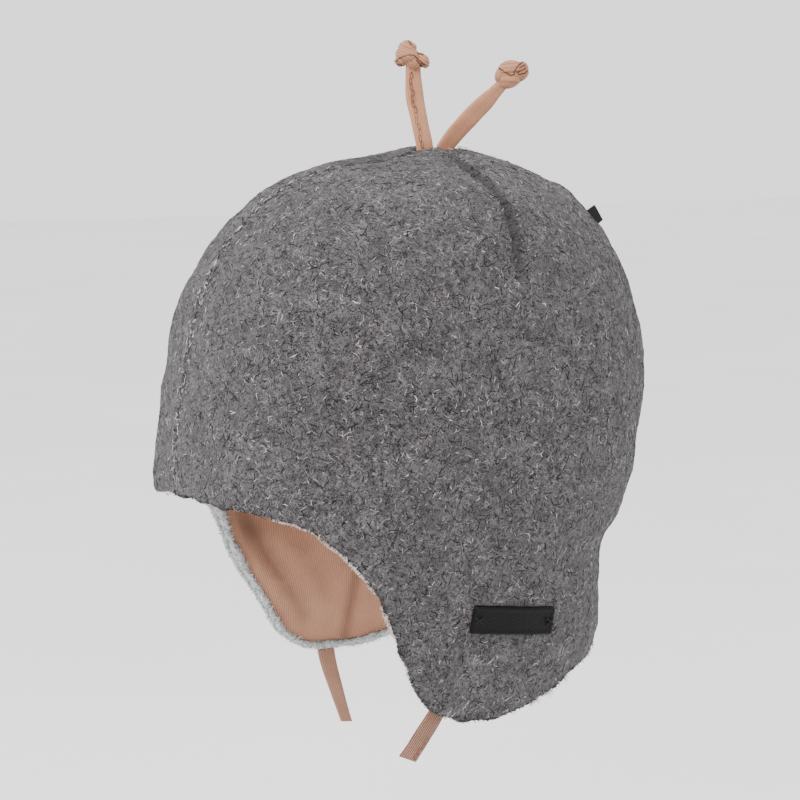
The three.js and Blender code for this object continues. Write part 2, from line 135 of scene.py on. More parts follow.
# Level cuts from the top down: shares of the crown, the flap, half the width, half the length,
# the centre's place, and the outline's power
CUTS = np.array([
    (0, 0, 0, 0, 0.12, 2),
    (0.043, 0, 0.33, 0.325, 0.08, 2),
    (0.1, 0, 0.545, 0.54, 0.072, 2.05),
    (0.16, 0, 0.68, 0.674, 0.066, 2.1),
    (0.272, 0, 0.825, 0.822, 0.051, 2.15),
    (0.446, 0, 0.935, 0.934, 0.036, 2.2),
    (0.684, 0, 0.995, 0.995, 0.018, 2.3),
    (0.838, 0, 1, 0.998, -0.006, 2.35),
    (0.965, 0, 1, 0.985, -0.034, 2.4),
    (1, 0.115, 1, 0.938, -0.062, 2.4),
    (1, 0.26, 0.99, 0.89, -0.09, 2.4),
    (1, 0.42, 0.975, 0.875, -0.08, 2.4),
    (1, 0.63, 0.945, 0.86, -0.063, 2.4),
    (1, 0.84, 0.935, 0.825, -0.075, 2.35),
    (1, 1, 0.905, 0.745, -0.096, 2.3),
])

# The rim from the forehead to the nape: share of the half turn, of the crown and of the flap
RIM = np.array([
    (0, 0.982, 0),
    (0.12, 0.98, 0),
    (0.2, 0.99, 0),
    (0.264, 1, 0.035),
    (0.309, 1, 0.14),
    (0.343, 1, 0.26),
    (0.365, 1, 0.4),
    (0.386, 1, 0.63),
    (0.406, 1, 0.79),
    (0.439, 1, 0.905),
    (0.5, 1, 0.97),
    (0.572, 1, 0.96),
    (0.658, 1, 0.9),
    (0.773, 1, 0.8),
    (0.857, 1, 0.76),
    (1, 1, 0.75),
])


# Curves and surfaces of the hat, in arrays

def smoothstep(value, low, high):
    share = np.clip((value - low) / (high - low), 0, 1)
    return share * share * (3 - 2 * share)


def bell(distance, reach):
    return np.exp(-((distance / reach) ** 2))


def unit(vectors):
    return vectors / np.maximum(np.linalg.norm(vectors, axis=-1, keepdims=True), 1e-12)


def full_turn(count):
    return 2 * np.pi * np.arange(count) / count


def run_along(points):
    """The running length at each of a row of points."""
    steps = np.linalg.norm(np.diff(points, axis=0), axis=1)
    return np.concatenate([[0.0], np.cumsum(steps)])


def both_halves(left, right, mirror=MIRROR):
    """The left half's columns from the forehead to the nape, and the right half's back again."""
    return np.concatenate([left, right[::-1][1:-1] * mirror], axis=0)


def rings_around(middles, side, up, half_width, half_height, angles):
    across = side[:, None] * (half_width * np.cos(angles))[None, :, None]
    high = up[:, None] * (half_height * np.sin(angles))[None, :, None]
    return middles[:, None] + across + high


def table_curve(rows, lengths):
    """A smooth curve through the rows of a table, read at a running length."""
    at = np.concatenate([[0.0], np.cumsum(lengths)])
    last = len(rows) - 1
    before = np.maximum(np.arange(last + 1) - 1, 0)
    after = np.minimum(np.arange(last + 1) + 1, last)
    slopes = (rows[after] - rows[before]) / (at[after] - at[before])[:, None]

    def read(length):
        length = np.asarray(length, float)
        k = np.clip(np.searchsorted(at, length) - 1, 0, last - 1)
        span = at[k + 1] - at[k]
        t = np.clip((length - at[k]) / span, 0, 1)[..., None]
        p = rows[k]
        q = rows[k + 1]
        bend_in = slopes[k] * span[..., None]
        bend_out = slopes[k + 1] * span[..., None]
        cubic = 2 * (p - q) + bend_in + bend_out
        square = 3 * (q - p) - 2 * bend_in - bend_out
        return p + t * (bend_in + t * (square + t * cubic))

    return read, at


# Columns: drop, half width, half length, centre, power
cut_sizes = np.stack([
    CUTS[:, 0] * CROWN_HEIGHT + CUTS[:, 1] * FLAP_DROP,
    CUTS[:, 2] * HALF_WIDTH,
    CUTS[:, 3] * HALF_LENGTH,
    CUTS[:, 4] * HALF_LENGTH,
    CUTS[:, 5],
], axis=1)
beyond_top = cut_sizes[1] * np.array([1, -1, -1, 1, 1])
profile_rows = np.vstack([beyond_top, cut_sizes])
profile_steps = np.hypot(np.diff(profile_rows[:, 2]), np.diff(profile_rows[:, 0]))
read_profile, profile_at = table_curve(profile_rows, profile_steps)
PROFILE_TOP = profile_at[1]
PROFILE_LENGTH = profile_at[-1] - PROFILE_TOP
dense_paths = np.linspace(0, PROFILE_LENGTH, 6000)
dense_drops = read_profile(PROFILE_TOP + dense_paths)[:, 0]


def cut_at(path):
    return read_profile(PROFILE_TOP + np.asarray(path, float))


def path_to(drop):
    return np.interp(drop, dense_drops, dense_paths)


def outline(turn, path):
    """A point of the outside before any relief, at a turn and a path down from the top."""
    cut = cut_at(path)
    across = np.sin(np.asarray(turn) * np.pi)
    along = np.cos(np.asarray(turn) * np.pi)
    power = cut[..., 4]
    scale = (np.abs(across) ** power + np.abs(along) ** power) ** (-1 / power)
    return np.stack([
        cut[..., 1] * scale * across,
        cut[..., 3] - cut[..., 2] * scale * along,
        WALL_TOTAL - cut[..., 0],
    ], axis=-1)


TURN_STEP = 1e-4
PATH_STEP = 1e-2


def tangents(turn, path):
    ahead = outline(turn + TURN_STEP, path) - outline(turn - TURN_STEP, path)
    down = outline(turn, path) - outline(turn, path - PATH_STEP)
    return ahead / (2 * TURN_STEP), down / PATH_STEP


def outward(turn, path):
    turn, path = np.broadcast_arrays(np.asarray(turn, float), np.asarray(path, float))
    ahead, down = tangents(turn, path)
    normal = unit(np.cross(down, ahead))
    flat = (turn <= 0) | (turn >= 1)
    normal[..., 0] = np.where(flat, 0, normal[..., 0])
    top = path < PATH_STEP
    normal[top] = (0, 0, 1)
    return unit(normal)


def seam_relief(point):
    reach = np.where(point[..., 1] < DIP_PLACE, DIP_FRONT, DIP_BACK)
    upper = smoothstep(point[..., 2], WALL_TOTAL - CROWN_HEIGHT / 2, WALL_TOTAL)
    dip = DIP_DEPTH * bell(point[..., 0], DIP_WIDTH) * bell(point[..., 1] - DIP_PLACE, reach) * upper
    return -dip - GROOVE_DEPTH * bell(point[..., 0], GROOVE_WIDTH)


def dart_fade(path):
    return smoothstep(path, 0, DART_START) * (1 - smoothstep(path, DART_START, DART_END))


def dart_distance(turn, path):
    cut = cut_at(path)
    return (turn - DART_TURN) * np.pi * (cut[..., 1] + cut[..., 2]) / 2


def dart_relief(turn, path, before):
    """The dart's height. before is true where the cloth lies in front of the dart."""
    distance = dart_distance(turn, path)
    proud = DART_PROUD * bell(distance, DART_FRONT_REACH)
    sunk = -DART_SUNK * bell(distance, DART_BACK_REACH)
    return dart_fade(path) * np.where(before, proud, sunk)


def cloth_place(turn, path, before, lift):
    """A place at a height over the outside with its folds, and the outward direction there."""
    flat = outline(turn, path)
    normal = outward(turn, path)
    relief = seam_relief(flat) + dart_relief(turn, path, before)
    return flat + normal * (relief + lift)[..., None], normal


# The rim
rim_rows = np.stack([RIM[:, 0], RIM[:, 1] * CROWN_HEIGHT + RIM[:, 2] * FLAP_DROP], axis=1)
MEAN_RADIUS = (HALF_WIDTH + HALF_LENGTH) / 2
rim_steps = np.hypot(np.diff(rim_rows[:, 0]) * np.pi * MEAN_RADIUS, np.diff(rim_rows[:, 1]))
read_rim, rim_at = table_curve(rim_rows, rim_steps)
RIM_LENGTH = rim_at[-1]
RIM_SAMPLES = 2000


def rim_place(length):
    row = read_rim(np.clip(length, 0, RIM_LENGTH))
    return row[..., 0], path_to(row[..., 1])


def rim_point(length):
    return outline(*rim_place(length))


def even_rim_lengths(shares):
    """Running lengths of the rim's table at even shares of the real rim."""
    lengths = np.linspace(0, RIM_LENGTH, RIM_SAMPLES)
    walked = run_along(rim_point(lengths))
    return np.interp(shares * walked[-1], walked, lengths)


RIM_STEP = 2


def rim_frame(length):
    """The rim's turn and path, and the directions out of the cloth and up into it."""
    length = np.asarray(length, float)
    turn, path = rim_place(length)
    along = rim_point(length + RIM_STEP) - rim_point(length - RIM_STEP)
    along = np.where((turn <= 0)[..., None], (1.0, 0, 0), along)
    along = np.where((turn >= 1)[..., None], (-1.0, 0, 0), along)
    out = outward(turn, path)
    into = unit(np.cross(out, unit(along)))
    return turn, path, out, into


def inset_rim(lengths, distance):
    """The places where an edge set back from the rim by a distance lies."""
    turn, path, _, into = rim_frame(lengths)
    ahead, down = tangents(turn, path)
    aa = np.sum(ahead * ahead, axis=-1)
    ad = np.sum(ahead * down, axis=-1)
    dd = np.sum(down * down, axis=-1)
    a = np.sum(into * ahead, axis=-1) * distance
    d = np.sum(into * down, axis=-1) * distance
    base = aa * dd - ad * ad
    aside = (a * dd - d * ad) / base
    aside = np.where((turn <= 0) | (turn >= 1), 0, aside)
    return turn + aside, path + (d * aa - a * ad) / base


def top_turn(share):
    front = DART_TURN * share / DART_COLUMN_SHARE
    back = DART_TURN + (1 - DART_TURN) * (share - DART_COLUMN_SHARE) / (1 - DART_COLUMN_SHARE)
    return np.where(share <= DART_COLUMN_SHARE, front, back)


def grid_place(column_share, row_share, rim_turn, rim_path):
    swing = smoothstep(row_share, STEADY_SHARE, 1)
    start = top_turn(column_share)
    return start + (rim_turn - start) * swing, row_share * rim_path


def waves(points, wavelength, seed, count=24):
    """A smooth random field of about unit size, from crossing waves."""
    random = np.random.default_rng(seed)
    directions = unit(random.normal(size=(count, 3)))
    sizes = wavelength * random.uniform(0.7, 1.4, count)
    phases = random.uniform(0, 2 * np.pi, count)
    total = np.zeros(points.shape[:-1])
    for direction, size, phase in zip(directions, sizes, phases):
        total += np.sin(points @ direction * (2 * np.pi / size) + phase)
    return total / math.sqrt(count / 2)


# Mesh building

def grid_faces(columns, rows, around_columns=False, around_rows=False):
    """Faces between points that are numbered column by column."""
    i = np.arange(columns if around_columns else columns - 1)
    j = np.arange(rows if around_rows else rows - 1)
    i, j = np.meshgrid(i, j, indexing="ij")
    k = (i + 1) % columns
    n = (j + 1) % rows
    faces = np.stack([i * rows + j, i * rows + n, k * rows + n, k * rows + j], axis=-1)
    return faces.reshape(-1, 4)


def settled(points):
    """The worn hat's uneven hang: its far half lies lower, and the near flap's back is drawn up."""
    points = np.array(points, float)
    x, y, z = points[..., 0], points[..., 1], points[..., 2]
    before_nape = 1 - smoothstep(y, *LOW_BACK)
    far = smoothstep(-x, *SETTLE_SIDE)
    forward = bell(z + FRONT_DOWN, FRONT_REACH) * (1 - smoothstep(y, *FRONT_BACK))
    tucked = smoothstep(-z, *TUCK_DOWN) * (1 - smoothstep(y, *TUCK_BACK))
    low = smoothstep(-z, *LOW_DOWN) * before_nape
    low_back = smoothstep(-z, *NAPE_DOWN) * smoothstep(y, *NAPE_BACK) * before_nape
    brow = smoothstep(-x, *BROW_SIDE) * (1 - smoothstep(y, *BROW_BACK)) * smoothstep(-z, *BROW_DOWN)
    drawn_up = smoothstep(x, *SETTLE_SIDE) * smoothstep(-z, *LIFT_DOWN) * smoothstep(y, *LIFT_BACK)
    points[..., 1] = y + far * (SETTLE_TUCK * tucked - SETTLE_FRONT * forward)
    points[..., 2] = z - far * (SETTLE_DOWN * low + SETTLE_BACK * low_back) - SETTLE_BROW * brow
    points[..., 2] += SETTLE_LIFT * drawn_up
    return points


def far_front(turn):
    """Where the far flap's front edge is worn thin."""
    return smoothstep(turn, *THIN_FROM) * (1 - smoothstep(turn, *THIN_TO))


def mesh_object(name, points, faces, material, uv=None, slot=None, painted_shade=None, second=None):
    """A smooth mesh from points in millimetres.

    uv gives each point its place on the cloth, painted_shade the shade painted into its colour in folds
    and dents from 0 to 1, and second a material with the faces that take it.
    """
    mesh = bpy.data.meshes.new(name)
    points = settled(points).astype(np.float32).reshape(-1, 3)
    faces = np.asarray(faces, np.int32)
    mesh.vertices.add(len(points))
    mesh.vertices.foreach_set("co", (points * MM).ravel())
    mesh.loops.add(faces.size)
    mesh.loops.foreach_set("vertex_index", faces.ravel())
    mesh.polygons.add(len(faces))
    mesh.polygons.foreach_set("loop_start", np.arange(len(faces), dtype=np.int32) * faces.shape[1])
    mesh.update(calc_edges=True)
    if uv is not None:
        layer = mesh.uv_layers.new(name="cloth")
        layer.data.foreach_set("uv", np.asarray(uv, np.float32).reshape(-1, 2)[faces.ravel()].ravel())
    # The painted shade goes on the mesh, for its material to darken the colour with
    if painted_shade is not None:
        depth = mesh.attributes.new("painted_shade", "FLOAT", "POINT")
        depth.data.foreach_set("value", np.asarray(painted_shade, np.float32).ravel())
    mesh.materials.append(material)
    if second is not None:
        mesh.materials.append(second[0])
        mesh.polygons.foreach_set("material_index", second[1].astype(np.int32))
    mesh.validate()
    mesh.shade_smooth()
    piece = bpy.data.objects.new(name, mesh)
    bpy.context.scene.collection.objects.link(piece)
    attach(piece, "root")
    return piece


def joined_meshes(parts):
    """One list of points and faces from several."""
    points = []
    faces = []
    start = 0
    for part_points, part_faces in parts:
        part_points = np.asarray(part_points, float).reshape(-1, 3)
        points.append(part_points)
        faces.append(np.asarray(part_faces) + start)
        start += len(part_points)
    return np.concatenate(points), np.concatenate(faces)


def flipped(points, faces):
    """The same mesh on the other side of the hat."""
    return points * MIRROR, faces[:, ::-1]


def scattered(points, faces, count, random):
    """Random places on a mesh with their outward directions, evenly by area."""
    a, b, c, d = (points[faces[:, corner]] for corner in range(4))
    crossed = np.cross(c - a, d - b)
    area = np.linalg.norm(crossed, axis=1)
    pick = random.choice(len(faces), count, p=area / area.sum())
    u = random.uniform(size=(count, 1))
    v = random.uniform(size=(count, 1))
    low = a[pick] + (b[pick] - a[pick]) * v
    high = d[pick] + (c[pick] - d[pick]) * v
    return low + (high - low) * u, -unit(crossed)[pick], pick


LAY_SPREAD = 0.6
RIBBON_TILT = 0.7
RIBBON_TAPER = 0.75


def ribbons(roots, normals, random, lengths, widths, lift, curl, bends=2, lay=None, longer=1.0):
    """Curved ribbons that lie along a surface, as points and faces.

    lengths and widths are ranges, lift and curl are how far the ends rise and turn aside, and lay
    aims the ribbons. Ribbons with a lay rise to both sides.
    """
    count = len(roots)
    lengths = random.uniform(*lengths, count) * longer
    widths = random.uniform(*widths, count)
    lifts = random.exponential(lift, count) if lay is None else random.normal(0, lift, count)
    curls = random.normal(0, curl, count)
    aim = random.normal(size=(count, 3))
    if lay is not None:
        aim = aim * LAY_SPREAD + lay
    ahead = unit(aim - normals * np.sum(aim * normals, axis=1, keepdims=True))
    side = np.cross(normals, ahead)
    share = np.linspace(-0.5, 0.5, bends + 1)[None, :, None]
    length = lengths[:, None, None]
    curl = curls[:, None, None]
    rise = lifts[:, None, None] * (share + 0.5) ** 2
    middle = (roots[:, None] + ahead[:, None] * share * length
              + side[:, None] * curl * (share * share * 4) * length
              + normals[:, None] * rise)
    tilt = random.uniform(-RIBBON_TILT, RIBBON_TILT, count)[:, None, None]
    flat = side[:, None] * np.cos(tilt) + normals[:, None] * np.sin(tilt)
    half = widths[:, None, None] / 2 * (1 - RIBBON_TAPER * np.abs(share * 2) ** 2)
    left = middle - flat * half
    right = middle + flat * half
    points = np.stack([left, right], axis=2).reshape(-1, 3)
    k = np.arange(bends)
    pattern = np.stack([2 * k, 2 * k + 1, 2 * k + 3, 2 * k + 2], axis=1)
    start = np.arange(count)[:, None, None] * 2 * (bends + 1)
    faces = (pattern[None] + start).reshape(-1, 4)
    return points, faces


# Wool panels

PANEL_COLUMNS = 150
PANEL_ROWS = 190
INNER_ROWS = 24
EDGE_ROWS = 5
EDGE_DEPTH = 2.4
SEAM_TUCK = 1.8
SEAM_COLUMNS = 2
FELT_GAP = 0.01

# The dart's lip from the front cloth, over its fold, to the back cloth: place across the dart and
# share of the height between the two
LIP = np.array([
    (0.5, 1.0),
    (1.0, 0.84),
    (1.25, 0.55),
    (1.1, 0.2),
    (0.6, -0.2),
    (0.0, -0.5),
])
LIP_FLOOR = 0.33
COLUMN_CROWDING = 1.25
OPEN_FROM = (6, 20)
OPEN_TO = (68, 92)
NEAR_TOP = (26, 56)
GROOVE_BEHIND = 0.5
GROOVE_REACH = 2.4
GROOVE_START = 1.5
GROOVE_SHADE_REACH = 1.7
BACK_RISE = 1.7
BACK_REACH = 16
FRONT_DROP = 1.5
FRONT_DROP_REACH = 18
BACK_DROP = 0.6
LIP_DROP = 0.5
LIP_DROP_REACH = 6
DENT_BACK = -10
DENT_REACH = 11
DENT_WIDTH = 15
DENT_DEPTH = 0.5
DENT_LEVELS = (WALL_TOTAL - 30, WALL_TOTAL - 8)
SEAM_LINE = 0.05

# The felt's swells: height, wavelength
SWELLS = ((0.35, 34), (0.16, 13), (0.07, 5))
SWELL_PATH = (10, 45)
SWELL_SIDE = (0.5, 6)
EDGE_BULGE = 0.55
EDGE_WAVES = 0.45


def dart_open(path):
    """How open the groove behind the dart's fold is."""
    return smoothstep(path, *OPEN_FROM) * (1 - smoothstep(path, *OPEN_TO))


def panel_columns():
    """Each column's share of the half rim, its place across the lip and its height in the lip."""
    front = np.linspace(0, 1, round(PANEL_COLUMNS * DART_COLUMN_SHARE))
    front = DART_COLUMN_SHARE * (1 - (1 - front) ** COLUMN_CROWDING)
    back = np.linspace(0, 1, round(PANEL_COLUMNS * (1 - DART_COLUMN_SHARE)))
    back = DART_COLUMN_SHARE + (1 - DART_COLUMN_SHARE) * back ** COLUMN_CROWDING
    share = np.concatenate([front, np.full(len(LIP), DART_COLUMN_SHARE), back])
    across = np.concatenate([np.zeros(len(front)), LIP[:, 0], np.zeros(len(back))])
    height = np.concatenate([np.ones(len(front)), LIP[:, 1], np.zeros(len(back))])
    return share, across, height


def dent_and_shade_at(point):
    """The soft dent beside the seam in front of the ears, from 0 to 1, which is also painted in as shade."""
    upper = smoothstep(point[..., 2], *DENT_LEVELS)
    return bell(point[..., 1] - DENT_BACK, DENT_REACH) * bell(point[..., 0], DENT_WIDTH) * upper


def wool_surface(share, across, height, row_share, depth, grooved=1):
    """Points, outward directions, path and painted shade of the wool at a depth below its outside."""
    lengths = even_rim_lengths(share)
    rim_turn, rim_path = rim_place(lengths)
    turn, path = grid_place(share[:, None], row_share[None, :], rim_turn[:, None], rim_path[:, None])
    height = height[:, None]
    before = np.broadcast_to(height >= 1, turn.shape)
    lip = ((height != 0) & (height != 1)) | (across != 0)[:, None]
    fade = dart_fade(path)
    opened = dart_open(path) * grooved
    distance = dart_distance(turn, path)
    relief = dart_relief(turn, path, before)
    near_top = opened * (1 - smoothstep(path, *NEAR_TOP))
    drop = -LIP_DROP * opened * bell(distance, LIP_DROP_REACH)
    drop = drop - FRONT_DROP * near_top * bell(distance, FRONT_DROP_REACH)
    rise = BACK_RISE * (1 - bell(distance, GROOVE_REACH)) * bell(distance, BACK_REACH)
    rise = opened * (rise - GROOVE_BEHIND * bell(distance, GROOVE_REACH))
    relief = relief + np.where(before, drop, rise)
    high = DART_PROUD * fade - LIP_DROP * opened - FRONT_DROP * near_top
    low = -DART_SUNK * fade - GROOVE_BEHIND * opened - BACK_DROP * near_top
    lip_share = np.clip(LIP_FLOOR + (1 - LIP_FLOOR) * height, 0, 1)
    relief = np.where(lip, low + (high - low) * lip_share, relief)
    # Painted shade in the groove behind the dart's fold and under its lip
    shadow = bell(np.maximum(distance - GROOVE_START, 0), GROOVE_SHADE_REACH)
    painted_shade = opened * np.where(before, 0, shadow)
    painted_shade = np.where(lip, opened * np.clip(1.1 - height, 0, 1), painted_shade)
    point = outline(turn, path)
    normal = outward(turn, path)
    # The dent before the ears is sunk into the felt and also painted in as shade
    dent_and_shade = dent_and_shade_at(point) * grooved
    filled = (GROOVE_DEPTH - SEAM_LINE) * bell(point[..., 0], GROOVE_WIDTH)
    relief = relief + seam_relief(point) + filled - DENT_DEPTH * dent_and_shade
    painted_shade = np.maximum(painted_shade, dent_and_shade)
    ahead, _ = tangents(turn, path)
    point = point + unit(ahead) * (across[:, None] * np.maximum(fade, opened))[..., None]
    return point + normal * (relief - depth)[..., None], normal, path, painted_shade


def cloth_unevenness(point, seed):
    """Slow swells of the thick felt, in millimetres."""
    return sum(high * waves(point, long, seed + k) for k, (high, long) in enumerate(SWELLS))


def panel_mesh(seed, thin):
    """A panel's points and painted shade by column and row, and its places and normals on the seam.

    The rows run down the outside, round the cut edge and up the inside.
    """
    share, across, height = panel_columns()
    rows = np.linspace(0, 1, PANEL_ROWS)
    outer, normal, path, painted_shade = wool_surface(share, across, height, rows, 0.0)
    worn = thin * far_front(rim_place(even_rim_lengths(share))[0])
    outer = outer - normal * (worn[:, None] * smoothstep(rows, 0.8, 1)[None, :])[..., None]
    fade_top = smoothstep(path, *SWELL_PATH)[..., None]
    fade_seam = smoothstep(np.abs(outer[..., 0]), *SWELL_SIDE)[..., None]
    outer = outer + normal * cloth_unevenness(outer, seed)[..., None] * fade_top * fade_seam
    _, _, out, into = rim_frame(even_rim_lengths(share))
    rim = outer[:, -1]
    half = EDGE_DEPTH / 2 - worn[:, None] / 2
    wavy = EDGE_BULGE * half * (1 + EDGE_WAVES * waves(rim, 9, seed + 5))[:, None]
    edge = []
    for angle in np.linspace(0, np.pi, EDGE_ROWS + 2)[1:]:
        edge.append(rim - out * half * (1 - np.cos(angle)) - into * wavy * np.sin(angle))
    inner_rows = np.linspace(1, 0, INNER_ROWS)[1:]
    level = np.clip(height, 0, 1).round()
    inner = wool_surface(share, across * 0, level, inner_rows, WOOL_WALL - 0.1, 0)[0]
    points = np.concatenate([outer, np.stack(edge, axis=1), inner], axis=1)
    ends = points[[0, -1]]
    tucks = ends.copy()
    tucks[:, :PANEL_ROWS] -= normal[[0, -1]] * SEAM_TUCK
    points = np.concatenate([tucks[:1], ends[:1], points, ends[1:], tucks[1:]], axis=0)
    points[..., 0] += FELT_GAP / 2
    # The painted shade lies on the outside rows, apart from the seam columns
    shade = np.zeros(points.shape[:2])
    shade[SEAM_COLUMNS:-SEAM_COLUMNS, :PANEL_ROWS] = painted_shade
    return points, shade, outer[[0, -1]].reshape(-1, 3), normal[[0, -1]].reshape(-1, 3)


# Scene

TARGET = Vector((0, 0, -0.08))
AZIMUTH = math.radians(64)
ELEVATION = math.radians(8)
DISTANCE = 0.85
PIXELS_PER_MM = 3.1447
FRAME_PIXELS = 800
SENSOR = 36


def place_camera():
    camera = bpy.data.objects.new("camera", bpy.data.cameras.new("camera"))
    bpy.context.scene.collection.objects.link(camera)
    toward = Vector((
        math.sin(AZIMUTH) * math.cos(ELEVATION),
        -math.cos(AZIMUTH) * math.cos(ELEVATION),
        math.sin(ELEVATION),
    ))
    camera.location = TARGET + toward * DISTANCE
    camera.rotation_euler = (-toward).to_track_quat("-Z", "Y").to_euler()
    camera.data.sensor_width = SENSOR
    camera.data.lens = PIXELS_PER_MM * DISTANCE / MM / FRAME_PIXELS * SENSOR
    camera.data.shift_y = 10 / FRAME_PIXELS
    camera.data.clip_start = 0.01
    bpy.context.scene.camera = camera
    return toward


toward_camera = place_camera()


# Materials

def linear(colour):
    """Linear light from red, green and blue of 0 to 255."""
    shares = [value / 255 for value in colour]
    lit = [((share + 0.055) / 1.055) ** 2.4 if share > 0.0404 else share / 12.92 for share in shares]
    return (*lit, 1.0)


class Shader:
    """A material of nodes over the object's own coordinates."""

    def __init__(self, name, roughness=0.9, sheen=0.0):
        self.material = bpy.data.materials.new(name)
        self.material.use_nodes = True
        self.nodes = self.material.node_tree.nodes
        self.links = self.material.node_tree.links
        self.shader = self.nodes["Principled BSDF"]
        self.shader.inputs["Roughness"].default_value = roughness
        self.shader.inputs["Specular IOR Level"].default_value = 0.2
        self.shader.inputs["Sheen Weight"].default_value = sheen
        self.place = self.nodes.new("ShaderNodeTexCoord").outputs["Object"]

    def new(self, kind, **settings):
        node = self.nodes.new(kind)
        for key, value in settings.items():
            setattr(node, key, value)
        return node

    def feed(self, socket, value):
        if isinstance(value, bpy.types.NodeSocket):
            self.links.new(value, socket)
        else:
            socket.default_value = value

    def noise(self, size, detail=3, roughness=0.6, distortion=0.0, vector=None):
        node = self.new("ShaderNodeTexNoise")
        self.feed(node.inputs["Vector"], vector or self.place)
        node.inputs["Scale"].default_value = 1 / (size * MM)
        node.inputs["Detail"].default_value = detail
        node.inputs["Roughness"].default_value = roughness
        node.inputs["Distortion"].default_value = distortion
        return node.outputs["Fac"]

    def math(self, operation, a, b=0.0, c=0.0, clamp=False):
        node = self.new("ShaderNodeMath", operation=operation, use_clamp=clamp)
        for socket, value in zip(node.inputs, (a, b, c)):
            self.feed(socket, value)
        return node.outputs[0]

    def stretched(self, scale, rotation=(0, 0, 0), place=None, offset=(0, 0, 0)):
        node = self.new("ShaderNodeMapping")
        self.feed(node.inputs["Vector"], place or self.place)
        node.inputs["Scale"].default_value = scale
        node.inputs["Rotation"].default_value = rotation
        node.inputs["Location"].default_value = offset
        return node.outputs[0]

    def ramp(self, value, stops):
        node = self.new("ShaderNodeValToRGB")
        self.feed(node.inputs["Fac"], value)
        elements = node.color_ramp.elements
        while len(elements) < len(stops):
            elements.new(0.5)
        for element, (place, colour) in zip(elements, stops):
            element.position = place
            element.color = linear(colour) if len(colour) == 3 else colour
        return node.outputs["Color"]

    def mix(self, share, a, b):
        node = self.new("ShaderNodeMix", data_type="RGBA")
        self.feed(node.inputs["Factor"], share)
        self.feed(node.inputs["A"], a)
        self.feed(node.inputs["B"], b)
        return node.outputs["Result"]

    def bump(self, height, distance, strength=1.0, normal=None):
        node = self.new("ShaderNodeBump")
        node.inputs["Strength"].default_value = strength
        node.inputs["Distance"].default_value = distance * MM
        self.feed(node.inputs["Height"], height)
        if normal is not None:
            self.feed(node.inputs["Normal"], normal)
        return node.outputs["Normal"]

    def cloth(self):
        """The place on the cloth, in millimetres."""
        return self.new("ShaderNodeUVMap", uv_map="cloth").outputs["UV"]

    def painted_shade(self):
        """The painted shade in folds and dents, from 0 to 1."""
        return self.new("ShaderNodeAttribute", attribute_name="painted_shade").outputs["Fac"]

    def colour(self, value):
        self.feed(self.shader.inputs["Base Color"], value)

    def folded(self, value, dark, share=0.85):
        """Colour the material, with painted shade that darkens it toward a dark colour in folds and dents.
        """
        self.colour(self.mix(self.math("MULTIPLY", self.painted_shade(), share), value, linear(dark)))

    def normal(self, value):
        self.feed(self.shader.inputs["Normal"], value)


def felt_web(s):
    """The share of light strands at a place: thin curly lines that cross, broken up in patches."""
    strands = 0.0
    for size, offset in ((1.5, 0.0), (1.15, 0.31), (0.9, 0.77)):
        place = s.stretched((1, 1, 1), (offset * 2, offset * 3, offset), offset=(offset, offset, offset))
        field = s.noise(size, 1.5, 0.6, 0.9, place)
        away = s.math("ABSOLUTE", s.math("SUBTRACT", field, 0.5))
        line = s.math("SUBTRACT", 1.0, s.math("MULTIPLY", away, 15.0), clamp=True)
        strands = s.math("MAXIMUM", strands, line)
    return s.math("MULTIPLY", strands, s.math("MULTIPLY_ADD", s.noise(1.9, 2, 0.6), 1.5, -0.1, clamp=True))


# Near-black that the painted shade in folds and dents darkens the colours toward
PAINTED_SHADE_BLACK = (14, 12, 13)


def wool_material():
    s = Shader("felted_wool", 0.95, 0.12)
    blotch = s.noise(9, 4, 0.62, 0.5)
    clump = s.noise(2.2, 4, 0.72, 0.8)
    web = felt_web(s)
    tone = s.math("MULTIPLY_ADD", blotch, 0.5, s.math("MULTIPLY", clump, 0.5))
    ground = s.ramp(tone, [(0.34, (5, 4, 5)), (0.5, (11, 10, 10)), (0.66, (21, 19, 20))])
    strand = s.ramp(tone, [(0.34, (70, 66, 68)), (0.5, (98, 93, 95)), (0.66, (126, 121, 122))])
    # Painted shade: the felt goes toward near-black in the groove behind the dart and in the dent before the
    # ears
    s.folded(s.mix(web, ground, strand), PAINTED_SHADE_BLACK)
    s.shader.inputs["Sheen Roughness"].default_value = 0.6
    height = s.math("MULTIPLY_ADD", clump, 0.8, s.math("MULTIPLY", web, 0.7))
    s.normal(s.bump(height, 0.45, 1.0))
    return s.material


def fibre_material(name, stops, sheen=0.1):
    s = Shader(name, sheen=sheen)
    island = s.new("ShaderNodeNewGeometry").outputs["Random Per Island"]
    blotch = s.noise(11, 3, 0.6, 0.4)
    shade = s.math("MULTIPLY_ADD", s.math("SUBTRACT", blotch, 0.5), 0.7, island, clamp=True)
    # Painted shade: each fibre is darkened like the felt it grows from
    s.folded(s.ramp(shade, stops), PAINTED_SHADE_BLACK)
    return s.material


